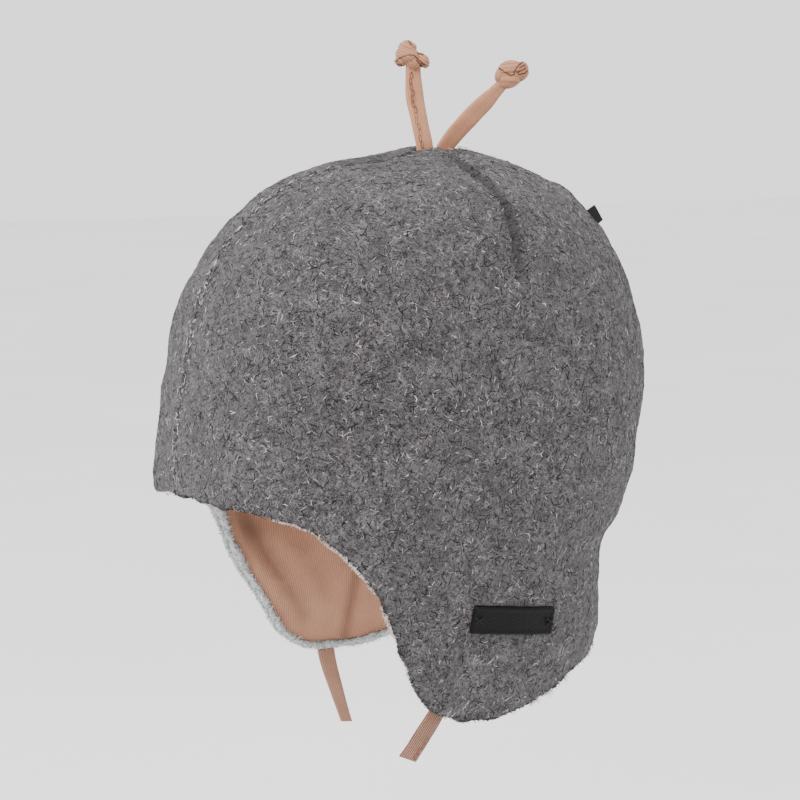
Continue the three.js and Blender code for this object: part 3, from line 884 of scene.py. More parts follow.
def jersey_material(name, colours, rib, depth, rib_share, rib_shade):
    """Ribbed knit: fine ribs along the cloth's length, with small stitches in each; painted shade darkens
    grooves and folds.
    """
    s = Shader(name, sheen=0.2)
    split = s.new("ShaderNodeSeparateXYZ")
    s.feed(split.inputs[0], s.cloth())
    across = s.math("MULTIPLY", split.outputs["X"], 2 * math.pi / rib)
    along = s.math("MULTIPLY", split.outputs["Y"], 2 * math.pi / (rib * 0.8))
    rib_height = s.math("MULTIPLY_ADD", s.math("COSINE", across), 0.5, 0.5)
    slant = s.math("ABSOLUTE", s.math("SINE", s.math("MULTIPLY", across, 0.5)))
    zigzag = s.math("MULTIPLY_ADD", slant, 2.2, along)
    stitch = s.math("MULTIPLY_ADD", s.math("SINE", zigzag), 0.5, 0.5)
    height = s.math("MULTIPLY_ADD", stitch, 1 - rib_share, s.math("MULTIPLY", rib_height, rib_share))
    wear = s.noise(6, 3, 0.6)
    fuzz = s.noise(0.7, 4, 0.75)
    grain = s.math("MULTIPLY_ADD", wear, 0.25, s.math("MULTIPLY", fuzz, 0.75 - rib_shade))
    # Painted shade: the colour darkens where the ribs and stitches sink, by rib_shade
    tone = s.math("MULTIPLY_ADD", height, rib_shade, grain)
    knit = s.ramp(tone, [(0.2, colours[0]), (0.5, colours[1]), (0.85, colours[2])])
    # Painted shade in the folds, toward the fourth colour
    s.folded(knit, colours[3], 0.8)
    s.normal(s.bump(s.math("MULTIPLY_ADD", fuzz, 0.25, height), depth))
    return s.material


def fleece_material():
    s = Shader("pale_fleece", 0.95, 0.3)
    clump = s.noise(1.6, 4, 0.7, 0.8)
    s.colour(s.ramp(clump, [(0.32, (128, 131, 132)), (0.46, (180, 183, 183)), (0.7, (208, 211, 210))]))
    s.normal(s.bump(s.noise(0.9, 4, 0.75, 1.0), 0.6))
    return s.material


def patch_material():
    s = Shader("black_patch", 0.5)
    s.shader.inputs["Specular IOR Level"].default_value = 0.12
    grain = s.new("ShaderNodeTexVoronoi")
    s.feed(grain.inputs["Vector"], s.place)
    grain.inputs["Scale"].default_value = 1 / (0.7 * MM)
    fine = s.noise(0.4, 4, 0.7)
    worn = s.noise(7, 4, 0.6)
    tone = s.math("MULTIPLY_ADD", worn, 0.6, s.math("MULTIPLY", fine, 0.4))
    s.colour(s.ramp(tone, [(0.3, (1, 1, 1)), (0.6, (3, 3, 3)), (0.8, (10, 10, 10))]))
    s.normal(s.bump(s.math("MULTIPLY_ADD", fine, 0.6, grain.outputs["Distance"]), 0.15))
    return s.material


def tab_material():
    s = Shader("woven_tab", 0.8)
    fine = s.noise(0.5, 3, 0.6)
    s.colour(s.ramp(fine, [(0.3, (9, 9, 10)), (0.7, (28, 28, 29))]))
    wave = s.new("ShaderNodeTexWave")
    s.feed(wave.inputs["Vector"], s.place)
    wave.inputs["Scale"].default_value = 1 / (2.2 * MM)
    s.normal(s.bump(wave.outputs["Fac"], 0.15))
    return s.material


def thread_material(name, colour):
    s = Shader(name, 0.85)
    dark = tuple(int(value * 0.75) for value in colour)
    s.colour(s.ramp(s.noise(0.5, 2), [(0.3, dark), (0.7, colour)]))
    return s.material


wool = wool_material()
wool_fibres = fibre_material("wool_fibres", [
    (0.0, (5, 4, 5)),
    (0.35, (12, 11, 11)),
    (0.6, (25, 23, 24)),
    (0.85, (54, 50, 52)),
    (1.0, (92, 87, 89)),
], sheen=0.05)
wool_strands = fibre_material("wool_strands", [
    (0.0, (76, 71, 72)),
    (0.4, (122, 114, 116)),
    (0.8, (152, 144, 145)),
    (1.0, (174, 167, 166)),
], sheen=0.05)
# Each jersey's fourth colour is the dark of its painted shade in folds
LINING_COLOURS = [(140, 101, 80), (164, 122, 99), (182, 140, 116), (70, 46, 35)]
STRAP_COLOURS = [(136, 93, 69), (155, 109, 83), (170, 123, 96), (62, 40, 30)]
# The near tie is coloured darker than the strap, with the strongest painted shade in its rib grooves
TIE_COLOURS = [(76, 47, 34), (124, 86, 68), (156, 116, 95), (56, 37, 30)]
# The far tie is the same jersey painted lighter: painted light on a tie that hangs in shade
FAR_TIE_PAINTED_LIGHT_COLOURS = [(112, 79, 62), (138, 102, 84), (156, 119, 99), (56, 37, 30)]
jersey = jersey_material("jersey_lining", LINING_COLOURS, 0.85, 0.06, 0.92, 0.22)
strap = jersey_material("jersey_strap", STRAP_COLOURS, 0.55, 0.05, 0.8, 0.3)
tie_jersey = jersey_material("jersey_tie", TIE_COLOURS, 0.62, 0.3, 1.0, 0.5)
far_tie_painted_light_jersey = jersey_material("jersey_far_tie_painted_light", FAR_TIE_PAINTED_LIGHT_COLOURS, 0.7, 0.1, 0.9, 0.3)
fleece = fleece_material()
fleece_fibres = fibre_material("fleece_fibres", [
    (0.0, (124, 126, 128)),
    (0.4, (178, 180, 180)),
    (1.0, (212, 214, 213)),
])
patch = patch_material()
tab = tab_material()
rim_fuzz_fibres = fibre_material("rim_fuzz", [
    (0.0, (120, 108, 104)),
    (0.4, (172, 158, 152)),
    (1.0, (206, 196, 190)),
])
chain_thread = thread_material("chain_thread", (122, 82, 62))
# Dark brown of the tubes of painted shade in the knots' creases
crease_shade_material = thread_material("crease_shade", (86, 54, 41))
seam_thread = thread_material("seam_thread", (84, 62, 50))
black_thread = thread_material("black_thread", (16, 16, 17))


# Panels and their fibres

# Fibres of each kind: how many on the left and the right panel, height over the felt, bends, widths
FELT_KINDS = {
    "fibres": ((42000, 32000), 0.0, 1, (0.7, 1.2)),
    "strands": ((48000, 30000), 0.05, 2, (0.17, 0.34)),
}
FELT_LENGTHS = (1.2, 2.7)
FELT_LEVELS = (-0.08, 0.16)
EDGE_FIBRES = 2500
SEAM_FIBRES = 1100
SEAM_STRANDS = 1000
SEAM_SPREAD = 1.1
FRINGE_FROM = -108
FLUFF_COUNT = 1100
FLUFF_BACK = (18, 31)
FLUFF_LEVEL = -145
FUZZ_COUNT = 1500
FUZZ_BACK = (-64, -4)
FUZZ_LEVEL = -140


def felt_fibres(name, points, faces, painted_shade, count, random, material, kind):
    """Short fibres that lie on the felt, each with the same painted shade as the felt below it."""
    _, level, bends, widths = FELT_KINDS[kind]
    roots, normals, pick = scattered(points, faces, count, random)
    roots = roots + normals * (level + random.uniform(*FELT_LEVELS, count))[:, None]
    fibres = ribbons(roots, normals, random, FELT_LENGTHS, widths, 0.1, 0.26, bends)
    # Each fibre's painted shade, from the felt face it grows from
    depth = np.repeat(painted_shade[faces[pick, 0]], 2 * (bends + 1))
    mesh_object(name, *fibres, material, slot="wool", painted_shade=depth)


def edge_fringe(points, faces, count, random):
    """Pale fibres that stand out of the cloth's cut edge."""
    roots, normals, _ = scattered(points, faces, count, random)
    return ribbons(roots - normals * 0.1, normals, random, (0.7, 1.9), (0.14, 0.3), 0.35, 0.3)


def between(values, limits):
    return (values > limits[0]) & (values < limits[1])


def back_fluff(points, edge, random):
    """Wisps of fleece that stand out below the near flap's back edge."""
    middle = points[edge].mean(axis=1)
    within = between(middle[:, 1], FLUFF_BACK) & (middle[:, 2] < FLUFF_LEVEL)
    roots, normals, _ = scattered(points, edge[within], FLUFF_COUNT, random)
    aside = np.tile([1.0, 0, 0], (FLUFF_COUNT, 1))
    lay = normals * 2.5 + np.array([0, 0.6, -0.3])
    wisps = 1.1 + 0.5 * np.sin(roots[:, 1] * 1.1)
    return ribbons(roots + normals * 0.5, aside, random, (2.4, 4.2), (0.25, 0.5), 0.4, 0.3, 3, lay, wisps)


def rim_fuzz(points, faces, random):
    """Pale fuzz that stands out along the near side's front rim."""
    middle = points[faces].mean(axis=1)
    patchy = waves(middle, 11, 71) > -0.5
    within = patchy & between(middle[:, 1], FUZZ_BACK) & (middle[:, 2] > FUZZ_LEVEL)
    roots, normals, _ = scattered(points, faces[within], FUZZ_COUNT, random)
    aside = np.tile([0.9, -0.43, 0.0], (FUZZ_COUNT, 1))
    lay = normals * 1.2
    return ribbons(roots + normals * 0.05, aside, random, (0.9, 1.9), (0.2, 0.38), 0.25, 0.3, 2, lay)


def seam_bridge(name, places, normals, random, count, material, level):
    """Felt fibres that lie across the centre seam and hide it."""
    pick = random.integers(0, len(places), count)
    roots = places[pick] + random.normal(0, 0.35, (count, 3))
    roots[:, 0] = random.normal(0, SEAM_SPREAD, count)
    lifted = roots + normals[pick] * (level + random.uniform(0.0, 0.12, count))[:, None]
    fibres = ribbons(lifted, normals[pick], random, (1.2, 2.8), (0.22, 0.45), 0.12, 0.2)
    # Each bridging fibre takes the painted shade of the dent at its root
    mesh_object(name, *fibres, material, slot="wool", painted_shade=np.repeat(dent_and_shade_at(roots), 6))


def build_panel(side, seed, thin, turned_rows, fringe_count, random):
    """One panel with its fibres. It returns the fringe of its cut edge."""
    left = side == "left"
    points, painted_shade, seam_places, seam_normals = panel_mesh(seed, thin)
    columns, total = points.shape[:2]
    points = points.reshape(-1, 3)
    painted_shade = painted_shade.ravel()
    faces = grid_faces(columns, total)
    pale_from = PANEL_ROWS + turned_rows
    pale = np.tile(np.arange(total - 1) >= pale_from, columns - 1)
    if not left:
        points, faces = flipped(points, faces)
    second = (fleece, pale)
    piece = mesh_object(f"wool_panel_{side}", points, faces, wool, slot="wool", painted_shade=painted_shade, second=second)
    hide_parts(f"panel_{side}")
    patches = faces.reshape(columns - 1, total - 1, 4)[SEAM_COLUMNS:-SEAM_COLUMNS]
    outside = patches[:, 2:PANEL_ROWS - 1].reshape(-1, 4)
    for kind, material in (("fibres", wool_fibres), ("strands", wool_strands)):
        count = FELT_KINDS[kind][0][0 if left else 1]
        felt_fibres(f"wool_{kind}_{side}", points, outside, painted_shade, count, random, material, kind)
    edge = patches[:, pale_from:PANEL_ROWS + EDGE_ROWS - 1].reshape(-1, 4)
    low = points[edge].mean(axis=1)[:, 2] < FRINGE_FROM
    fringe = edge_fringe(points, edge[low], fringe_count, random)
    if left:
        turned = patches[:, PANEL_ROWS:pale_from].reshape(-1, 4)
        felt_fibres("wool_fibres_edge", points, turned, painted_shade, EDGE_FIBRES, random, wool_fibres, "fibres")
        fuzz = [rim_fuzz(points, turned, random), back_fluff(points, edge, random)]
        mesh_object("rim_fuzz", *joined_meshes(fuzz), rim_fuzz_fibres, slot="fleece")
        seam = (seam_places, seam_normals, random)
        seam_bridge("wool_fibres_seam", *seam, SEAM_FIBRES, wool_fibres, 0.0)
        seam_bridge("wool_strands_seam", *seam, SEAM_STRANDS, wool_strands, 0.05)
    return fringe


def build_panels():
    random = np.random.default_rng(11)
    fringes = [
        build_panel("left", 20, 0.0, 3, 2500, random),
        build_panel("right", 60, THIN_EDGE, 0, 7000, random),
    ]
    mesh_object("edge_fringe", *joined_meshes(fringes), fleece_fibres, slot="fleece")


build_panels()


# Lining

LINING_COLUMNS = 150
LINING_ROWS = 150
HEM_STEPS = 4
HEM_BULGE = 0.25
HEM_RETURN = 0.9
SEAM_THREAD_DEPTH = 0.45
SEAM_THREAD_RADIUS = 0.32
SEAM_THREAD_SIDES = 8
CREASE_LIP = 1.6
CREASE_SPREAD = 1.3

# Soft creases inside the far flap: place back and level of both ends, reach, depth and painted shade. The
# last row is mostly painted shadow, with little depth
CREASES_AND_SHADES = np.array([
    (-28, -119, -11, -154, 3.6, 0.9, 0.42),
    (11, -143, 4.5, -169, 2.0, 0.8, 0.6),
    (-30, -119, -24, -128, 6.0, 0.2, 0.7),
])


def crease_distance(point, crease):
    """Distance from a crease, and the side of it that a point is on."""
    start = crease[0:2]
    along = crease[2:4] - start
    away = point[..., 1:] - start
    share = np.clip((away @ along) / (along @ along), 0, 1)
    across = away - share[..., None] * along
    side = np.sign(away[..., 0] * along[1] - away[..., 1] * along[0])
    return np.hypot(across[..., 0], across[..., 1]), side


def lining_place(share, row_share, hem):
    lengths = even_rim_lengths(share)
    rim_turn, rim_path = rim_place(lengths)
    before = np.minimum(row_share, HEM_SHARE)
    turn, path = grid_place(share[:, None], before[None, :], rim_turn[:, None], rim_path[:, None])
    beyond = (np.maximum(row_share - HEM_SHARE, 0) / (1 - HEM_SHARE))[None, :]
    return turn + (hem[0][:, None] - turn) * beyond, path + (hem[1][:, None] - path) * beyond


def lining_half(seed, creased):
    """The inner side from the top to the hem, round the hem and a little up the outer side."""
    share = np.linspace(0, 1, LINING_COLUMNS)
    lengths = even_rim_lengths(share)
    hem = inset_rim(lengths, HEM_INSET)
    rows = np.linspace(0, 1, LINING_ROWS)
    turn, path = lining_place(share, rows, hem)
    inner, normal = cloth_place(turn, path, False, -WALL_TOTAL)
    calm = smoothstep(path, 2, 20) * smoothstep(1 - np.broadcast_to(rows, path.shape), 0, 0.08)
    swell = np.minimum(0.35 * waves(inner, 30, seed) + 0.12 * waves(inner, 9, seed + 1), 0.3) - 0.12
    painted_shade = np.zeros(path.shape)
    if creased:
        for crease in CREASES_AND_SHADES:
            distance, side = crease_distance(inner, crease)
            reach, depth, shade = crease[4:]
            lip = CREASE_LIP * reach * np.where(side > 0, 1, 1.4)
            swell = swell - depth * bell(distance - lip, CREASE_SPREAD * reach)
            # Painted shade along the crease
            painted_shade = np.maximum(painted_shade, shade * bell(distance, reach))
    inner = inner + normal * (swell * calm)[..., None]
    into = rim_frame(lengths)[3]
    hem_edge = []
    for angle in np.linspace(0, np.pi, HEM_STEPS + 1)[1:]:
        outer_side = normal[:, -1:] * LINING_WALL / 2 * (1 - np.cos(angle))
        hem_edge.append(inner[:, -1:] + outer_side - into[:, None] * HEM_BULGE * np.sin(angle))
    back_rows = np.linspace(1, HEM_RETURN, 6)[1:]
    back_turn, back_path = lining_place(share, back_rows, hem)
    back, _ = cloth_place(back_turn, back_path, False, -WOOL_WALL - LAYER_GAP - 0.05)
    points = np.concatenate([inner, *hem_edge, back], axis=1)
    girth = np.concatenate([turn, np.tile(turn[:, -1:], (1, HEM_STEPS)), back_turn], axis=1)
    girth = girth * MEAN_RADIUS * np.pi
    down = np.concatenate([path, np.tile(path[:, -1:], (1, HEM_STEPS)), back_path], axis=1)
    shade = np.zeros(points.shape[:2])
    shade[:, :LINING_ROWS] = painted_shade
    return points, np.stack([girth, down], axis=-1), shade


def build_lining():
    left, left_uv, left_painted_shade = lining_half(31, False)
    right, right_uv, right_painted_shade = lining_half(37, True)
    points = both_halves(left, right)
    uv = both_halves(left_uv, right_uv, MIRROR[:2])
    painted_shade = both_halves(left_painted_shade, right_painted_shade, 1.0)
    columns, rows = points.shape[:2]
    faces = grid_faces(columns, rows, around_columns=True)[:, ::-1]
    piece = mesh_object("jersey_lining_cap", points, faces, jersey, uv, slot="lining", painted_shade=painted_shade)
    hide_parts("jersey_lining")


def build_hem_seam():
    """The dark line of the seam between the lining and the fleece."""
    lengths = even_rim_lengths(np.linspace(0, 1, 260))
    turn, path = inset_rim(lengths, HEM_INSET - HEM_GAP * 0.4)
    middle, out = cloth_place(turn, path, False, SEAM_THREAD_DEPTH - WALL_TOTAL)
    into = rim_frame(lengths)[3]
    around = full_turn(SEAM_THREAD_SIDES)
    ring = rings_around(middle, out, into, SEAM_THREAD_RADIUS, SEAM_THREAD_RADIUS, around)
    points = both_halves(ring, ring)
    columns, sides = points.shape[:2]
    faces = grid_faces(columns, sides, around_columns=True, around_rows=True)
    mesh_object("hem_seam", points, faces, seam_thread, slot="lining")


# Fleece roll

ROLL_COLUMNS = 330
ROLL_SIDES = 14
ROLL_DEPTH = WOOL_WALL + SEAT_GAP + ROLL_THICKNESS / 2
FLEECE_FIBRES = 22000


def roll_half(seed, show, worn):
    """Half of the roll. show is how far it stands below the wool, and worn how much less in front."""
    turn, path, out, into = rim_frame(even_rim_lengths(np.linspace(0, 1, ROLL_COLUMNS)))
    show = (show - worn * far_front(turn))[:, None]
    seat, _ = cloth_place(turn, path, turn < DART_TURN, -ROLL_DEPTH)
    middle = seat + into * (ROLL_WIDTH / 2 - show)
    angles = full_turn(ROLL_SIDES) + np.pi / ROLL_SIDES
    ring = rings_around(middle, out, into, ROLL_THICKNESS / 2, ROLL_WIDTH / 2, angles)
    away = unit(ring - middle[:, None])
    lumps = 0.2 * waves(ring, 9, seed) + 0.12 * waves(ring, 2.6, seed + 1)
    return ring + away * lumps[..., None]


def build_roll():
    left = roll_half(41, ROLL_SHOW - 0.6, 0.5)
    right = roll_half(47, ROLL_SHOW, 0.7)
    points = both_halves(left, right)
    columns, rows = points.shape[:2]
    faces = grid_faces(columns, rows, around_columns=True, around_rows=True)
    piece = mesh_object("fleece_roll", points, faces, fleece, slot="fleece")
    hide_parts("fleece_edge")
    random = np.random.default_rng(43)
    roots, normals, _ = scattered(points.reshape(-1, 3), faces, FLEECE_FIBRES, random)
    fibres = ribbons(roots, normals, random, (0.8, 2.2), (0.14, 0.3), 0.35, 0.35)
    mesh_object("fleece_fibres", *fibres, fleece_fibres, slot="fleece")


# Strips of jersey: ears and ties

def bezier(a, b, c, d, shares):
    t = shares[:, None]
    point = a * (1 - t) ** 3 + 3 * b * t * (1 - t) ** 2 + 3 * c * t * t * (1 - t) + d * t ** 3
    ahead = 3 * (b - a) * (1 - t) ** 2 + 6 * (c - b) * t * (1 - t) + 3 * (d - c) * t * t
    return point, unit(ahead)


STRIP_SIDES = 56
STRIP_FLAT = 0.6
CHAIN_LINK = 2.3
CHAIN_WIDTH = 0.85
CHAIN_THREAD = 0.26
CHAIN_STEP = 1.9


def strip_axes(ahead):
    """Across the strip and out of its face, which looks to the hat's left."""
    side = unit(np.cross(np.array([1.0, 0, 0]), ahead))
    return side, np.cross(ahead, side)


def strip_mesh(middle, ahead, width, thickness, ribs, rib_height, seed, slant=0.0):
    """A flat strip of rib jersey with rounded edges along a row of middles."""
    side, face = strip_axes(ahead)
    angle = -2 * np.pi * np.arange(STRIP_SIDES) / STRIP_SIDES
    x = np.sign(np.cos(angle)) * np.abs(np.cos(angle)) ** STRIP_FLAT
    y = np.sign(np.sin(angle)) * np.abs(np.sin(angle)) ** STRIP_FLAT
    across = np.arcsin(np.clip(x, -1, 1)) / np.pi
    rib = rib_height * (np.abs(np.sin(across * np.pi * ribs)) - 0.5)
    widths = np.broadcast_to(width, len(middle))
    wide = x[None] * widths[:, None] / 2
    high = np.broadcast_to(y * thickness / 2 + np.sign(y) * rib, wide.shape)
    points = middle[:, None] + side[:, None] * wide[..., None] + face[:, None] * high[..., None]
    cut = slant * smoothstep(np.linspace(0, 1, len(middle)), 0.55, 1)
    points = points + ahead[:, None] * (wide * cut[:, None])[..., None]
    points = points + face[:, None] * (0.12 * waves(points, 9, seed))[..., None]
    run = run_along(middle)
    uv = np.stack([wide, np.broadcast_to(run[:, None], wide.shape)], axis=-1)
    return points, uv


def capped(points, uv):
    """Faces of a tube of rings, with its two ends closed on added middles."""
    rings, sides = points.shape[:2]
    faces = grid_faces(rings, sides, around_rows=True)
    flat = points.reshape(-1, 3)
    flat_uv = uv.reshape(-1, 2)
    first = len(flat)
    flat = np.vstack([flat, points[0].mean(0), points[-1].mean(0)])
    flat_uv = np.vstack([flat_uv, uv[0].mean(0), uv[-1].mean(0)])
    j = np.arange(0, sides, 2)
    n = (j + 1) % sides
    m = (j + 2) % sides
    start = np.stack([np.full(len(j), first), m, n, j], axis=1)
    last = (rings - 1) * sides
    end = np.stack([np.full(len(j), first + 1), last + j, last + n, last + m], axis=1)
    return flat, np.vstack([faces, start, end]), flat_uv


def tube(middles, normals, radius, closed, sides=6):
    """A round thread along a row of places."""
    if closed:
        ahead = unit(np.roll(middles, -1, axis=0) - np.roll(middles, 1, axis=0))
    else:
        ahead = unit(np.gradient(middles, axis=0))
    side = unit(np.cross(ahead, normals))
    ring = rings_around(middles, side, normals, radius, radius, full_turn(sides))
    return ring, grid_faces(len(middles), sides, around_columns=closed, around_rows=True)


def chain_stitch(name, middle, ahead, thickness, offset, span, radius=CHAIN_THREAD / 2):
    """A row of looped stitches on a strip's face, at an offset across the strip."""
    side, face = strip_axes(ahead)
    run = run_along(middle)
    links = []
    turns = full_turn(14)
    for k, start in enumerate(np.arange(span[0], span[1], CHAIN_STEP)):
        at = start + CHAIN_LINK * (0.5 - 0.5 * np.cos(turns))
        wide = CHAIN_WIDTH / 2 * np.sin(turns) * (1.25 - 0.5 * (0.5 - 0.5 * np.cos(turns)))
        wide = wide + offset + 0.3 * math.sin(k * 1.9)
        place = np.stack([np.interp(at, run, middle[:, axis]) for axis in range(3)], axis=1)
        out = np.stack([np.interp(at, run, face[:, axis]) for axis in range(3)], axis=1)
        over = np.stack([np.interp(at, run, side[:, axis]) for axis in range(3)], axis=1)
        high = thickness / 2 + 0.12
        links.append(tube(place + over * wide[:, None] + out * high, unit(out), radius, True, 5))
    mesh_object(name, *joined_meshes(links), chain_thread, slot="strap")


def seam_point(back):
    paths = np.linspace(0, HALF_LENGTH, 800)
    turn = np.where(back < cut_sizes[0, 3], 0.0, 1.0) * np.ones(len(paths))
    points, _ = cloth_place(turn, paths, turn < DART_TURN, 0.0)
    away = np.abs(points[:, 1] - cut_sizes[0, 3])
    k = np.argmin(np.abs(away - abs(back - cut_sizes[0, 3])))
    return points[k]


def ear_path(back, lean_side, lean_back, swing, foot_lean):
    foot = seam_point(back)
    foot[2] += SEAT_GAP + GROOVE_DEPTH * (1 - bell(EAR_THICKNESS / 2, GROOVE_WIDTH))
    rise = math.sqrt(1 - lean_side ** 2 - lean_back ** 2)
    lean = np.array([lean_side, lean_back, 0.0])
    up = np.array([0.0, 0, 1])
    tip = foot + (lean + up * rise) * EAR_LENGTH
    straight = foot + (up * EAR_UPRIGHT * (1 + foot_lean) + lean * foot_lean) * EAR_LENGTH
    bend = foot + (lean * swing + up * rise * EAR_TURN_HEIGHT) * EAR_LENGTH
    return foot, straight, bend, tip


# Folds of the knots, from the strip's tip: place right, up and forward as the knot is seen, half
# sizes the same way, roll, number of pleats, their depth and their angle
FRONT_FOLDS = np.array([
    (-1.7, 2.9, 0.3, 4.2, 2.9, 3.9, -0.3, 3, 0.12, 1.2),
    (-1.9, 5.2, 0.1, 3.0, 2.9, 3.0, -0.35, 2, 0.16, 1.4),
    (3.1, 1.6, 0.2, 1.9, 2.7, 2.9, 0.55, 2, 0.25, 0.6),
    (0.3, 0.9, 0.9, 2.9, 2.4, 2.6, -0.2, 4, 0.25, 0.75),
    (-3.8, 1.5, 0.2, 2.3, 1.9, 2.7, 0.3, 2, 0.22, 0.4),
])
BACK_FOLDS = np.array([
    (2.6, 2.5, 0.0, 4.6, 3.5, 3.5, 0.55, 2, 0.06, 0.8),
    (2.8, 4.9, 0.9, 4.1, 2.7, 3.4, 0.12, 2, 0.06, 1.5),
    (6.0, 4.2, 0.3, 2.6, 3.2, 3.2, -0.25, 5, 0.32, 0.35),
    (-0.5, 3.0, 0.4, 1.7, 2.5, 2.6, -0.3, 2, 0.10, 0.2),
])

# Thin dark tubes of painted shade along the creases between the folds, from the strip's tip: place right and
# up as the knot is seen
FRONT_CREASE_SHADES = [
    [(-5.6, 0.8), (-4.4, 2.0), (-2.8, 2.5), (-1.0, 2.9), (0.4, 2.6), (1.4, 1.8), (2.6, 0.6), (3.8, -0.3)],
    [(0.9, 1.4), (1.8, 0.4), (2.7, -0.5)],
    [(1.1, 4.1), (1.6, 3.6), (2.4, 3.3), (3.3, 3.2)],
    [(-5.2, 0.3), (-4.3, 0.0), (-3.2, -0.2)],
    [(-1.7, 7.6), (-1.0, 7.0), (-0.6, 6.2)],
]
BACK_CREASE_SHADES = [
    [(-1.0, 4.9), (0.9, 3.6), (2.8, 2.5), (3.8, 2.9), (4.0, 4.0), (4.9, 5.5), (6.5, 6.9)],
    [(4.6, 3.5), (6.2, 4.1), (7.7, 5.1)],
    [(4.9, 2.9), (7.1, 3.2), (8.1, 4.2)],
    [(5.5, 4.8), (7.4, 6.1)],
]
CREASE_SHADE_RADIUS = 0.2
FOLD_COLUMNS = 40
FOLD_ROWS = 26

# Right, up and forward as the knots are seen in the photo
SEEN_RIGHT = np.array([math.cos(AZIMUTH), math.sin(AZIMUTH), 0])
SEEN_FORWARD = np.array(toward_camera)
SEEN_AXES = np.stack([SEEN_RIGHT, np.cross(SEEN_FORWARD, SEEN_RIGHT), SEEN_FORWARD])


def knot_fold(centre, row, seed):
    """One rounded, pleated turn of the strip in a knot."""
    place = row[:3] @ SEEN_AXES
    half = row[3:6]
    roll, pleats, depth, angle = row[6:]
    level = np.linspace(-np.pi / 2, np.pi / 2, FOLD_ROWS)[None, :]
    around = full_turn(FOLD_COLUMNS)[:, None]
    x = np.cos(level) * np.cos(around)
    y = np.sin(level) + 0 * around
    z = np.cos(level) * np.sin(around)
    ball = np.stack([x, y, z], axis=-1)
    crossing = x * math.cos(angle) + y * math.sin(angle)
    crease = np.abs(np.cos(np.pi * pleats * crossing)) ** 6
    size = 1 - depth / half[1] * crease + 0.02 * waves(ball, 1.3, seed)
    points = ball * half * size[..., None]
    turned_x = points[..., 0] * math.cos(roll) - points[..., 1] * math.sin(roll)
    turned_y = points[..., 0] * math.sin(roll) + points[..., 1] * math.cos(roll)
    seen = np.stack([turned_x, turned_y, points[..., 2]], axis=-1) @ SEEN_AXES
    uv = np.stack([points[..., 0] * 1.2, points[..., 1]], axis=-1)
    # The pleats' creases are sunk and also painted in as shade
    return centre + place + seen, uv, 0.55 * crease


def fold_front(right_up, folds):
    """How far forward the knot's folds reach at places seen from the front."""
    reach = np.full(len(right_up), -1.0)
    for row in folds:
        away = right_up - row[0:2]
        roll = row[6]
        x = (away[:, 0] * math.cos(roll) + away[:, 1] * math.sin(roll)) / row[3]
        y = (-away[:, 0] * math.sin(roll) + away[:, 1] * math.cos(roll)) / row[4]
        inside = 1 - x * x - y * y
        front = row[2] + row[5] * np.sqrt(np.maximum(inside, 0))
        reach = np.where(inside > 0, np.maximum(reach, front), reach)
    return reach


# Thin dark tubes along a knot's creases, as painted shade
def build_crease_shades(name, tip, folds, crease_shades):
    threads = []
    for crease in crease_shades:
        rows = np.array(crease)
        run = run_along(rows)
        even = np.linspace(0, run[-1], 6 * len(rows))
        place = np.stack([np.interp(even, run, rows[:, axis]) for axis in (0, 1)], axis=1)
        place = place + 0.06 * np.stack([np.sin(even * 5), np.cos(even * 4)], axis=1)
        reach = fold_front(place, folds) - 0.02
        spots = tip + np.column_stack([place, reach]) @ SEEN_AXES
        threads.append(tube(spots, np.tile(SEEN_FORWARD, (len(spots), 1)), CREASE_SHADE_RADIUS, False))
    mesh_object(name, *joined_meshes(threads), crease_shade_material, slot="strap")


def build_ear(name, back, lean_side, lean_back, swing, foot_lean, folds, crease_shades, seed, bow, neck):
    foot, straight, bend, tip = ear_path(back, lean_side, lean_back, swing, foot_lean)
    shares = np.linspace(0, 1, 60)
    middle, ahead = bezier(foot, straight, bend, tip, shares)
    middle[:, 1] -= bow * np.sin(np.pi * shares)
    widths = EAR_WIDTH * (0.94 + 0.06 * np.sin(np.pi * shares) - neck * smoothstep(shares, 0.7, 1))
    points, uv = strip_mesh(middle, ahead, widths, EAR_THICKNESS, 10, 0.05, seed)
    # The knot's creases get tubes of painted shade
    build_crease_shades(f"creases_{name}", tip, folds, crease_shades)
    flat, faces, flat_uv = capped(points, uv)
    parts = [(flat, faces)]
    uvs = [flat_uv]
    # Painted shade: none on the strip, and along the knot's pleat creases
    painted_shades = [np.zeros(len(flat))]
    for k, row in enumerate(folds):
        fold, fold_uv, painted_shade = knot_fold(tip, row, seed + k)
        parts.append((fold, grid_faces(FOLD_COLUMNS, FOLD_ROWS, around_columns=True)))
        uvs.append(fold_uv.reshape(-1, 2))
        painted_shades.append(painted_shade.ravel())
    points, faces = joined_meshes(parts)
    uv = np.vstack(uvs)
    painted_shade = np.concatenate(painted_shades)
    piece = mesh_object(f"jersey_{name}", points, faces, strap, uv, slot="strap", painted_shade=painted_shade)
    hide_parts(name)
    return middle, ahead


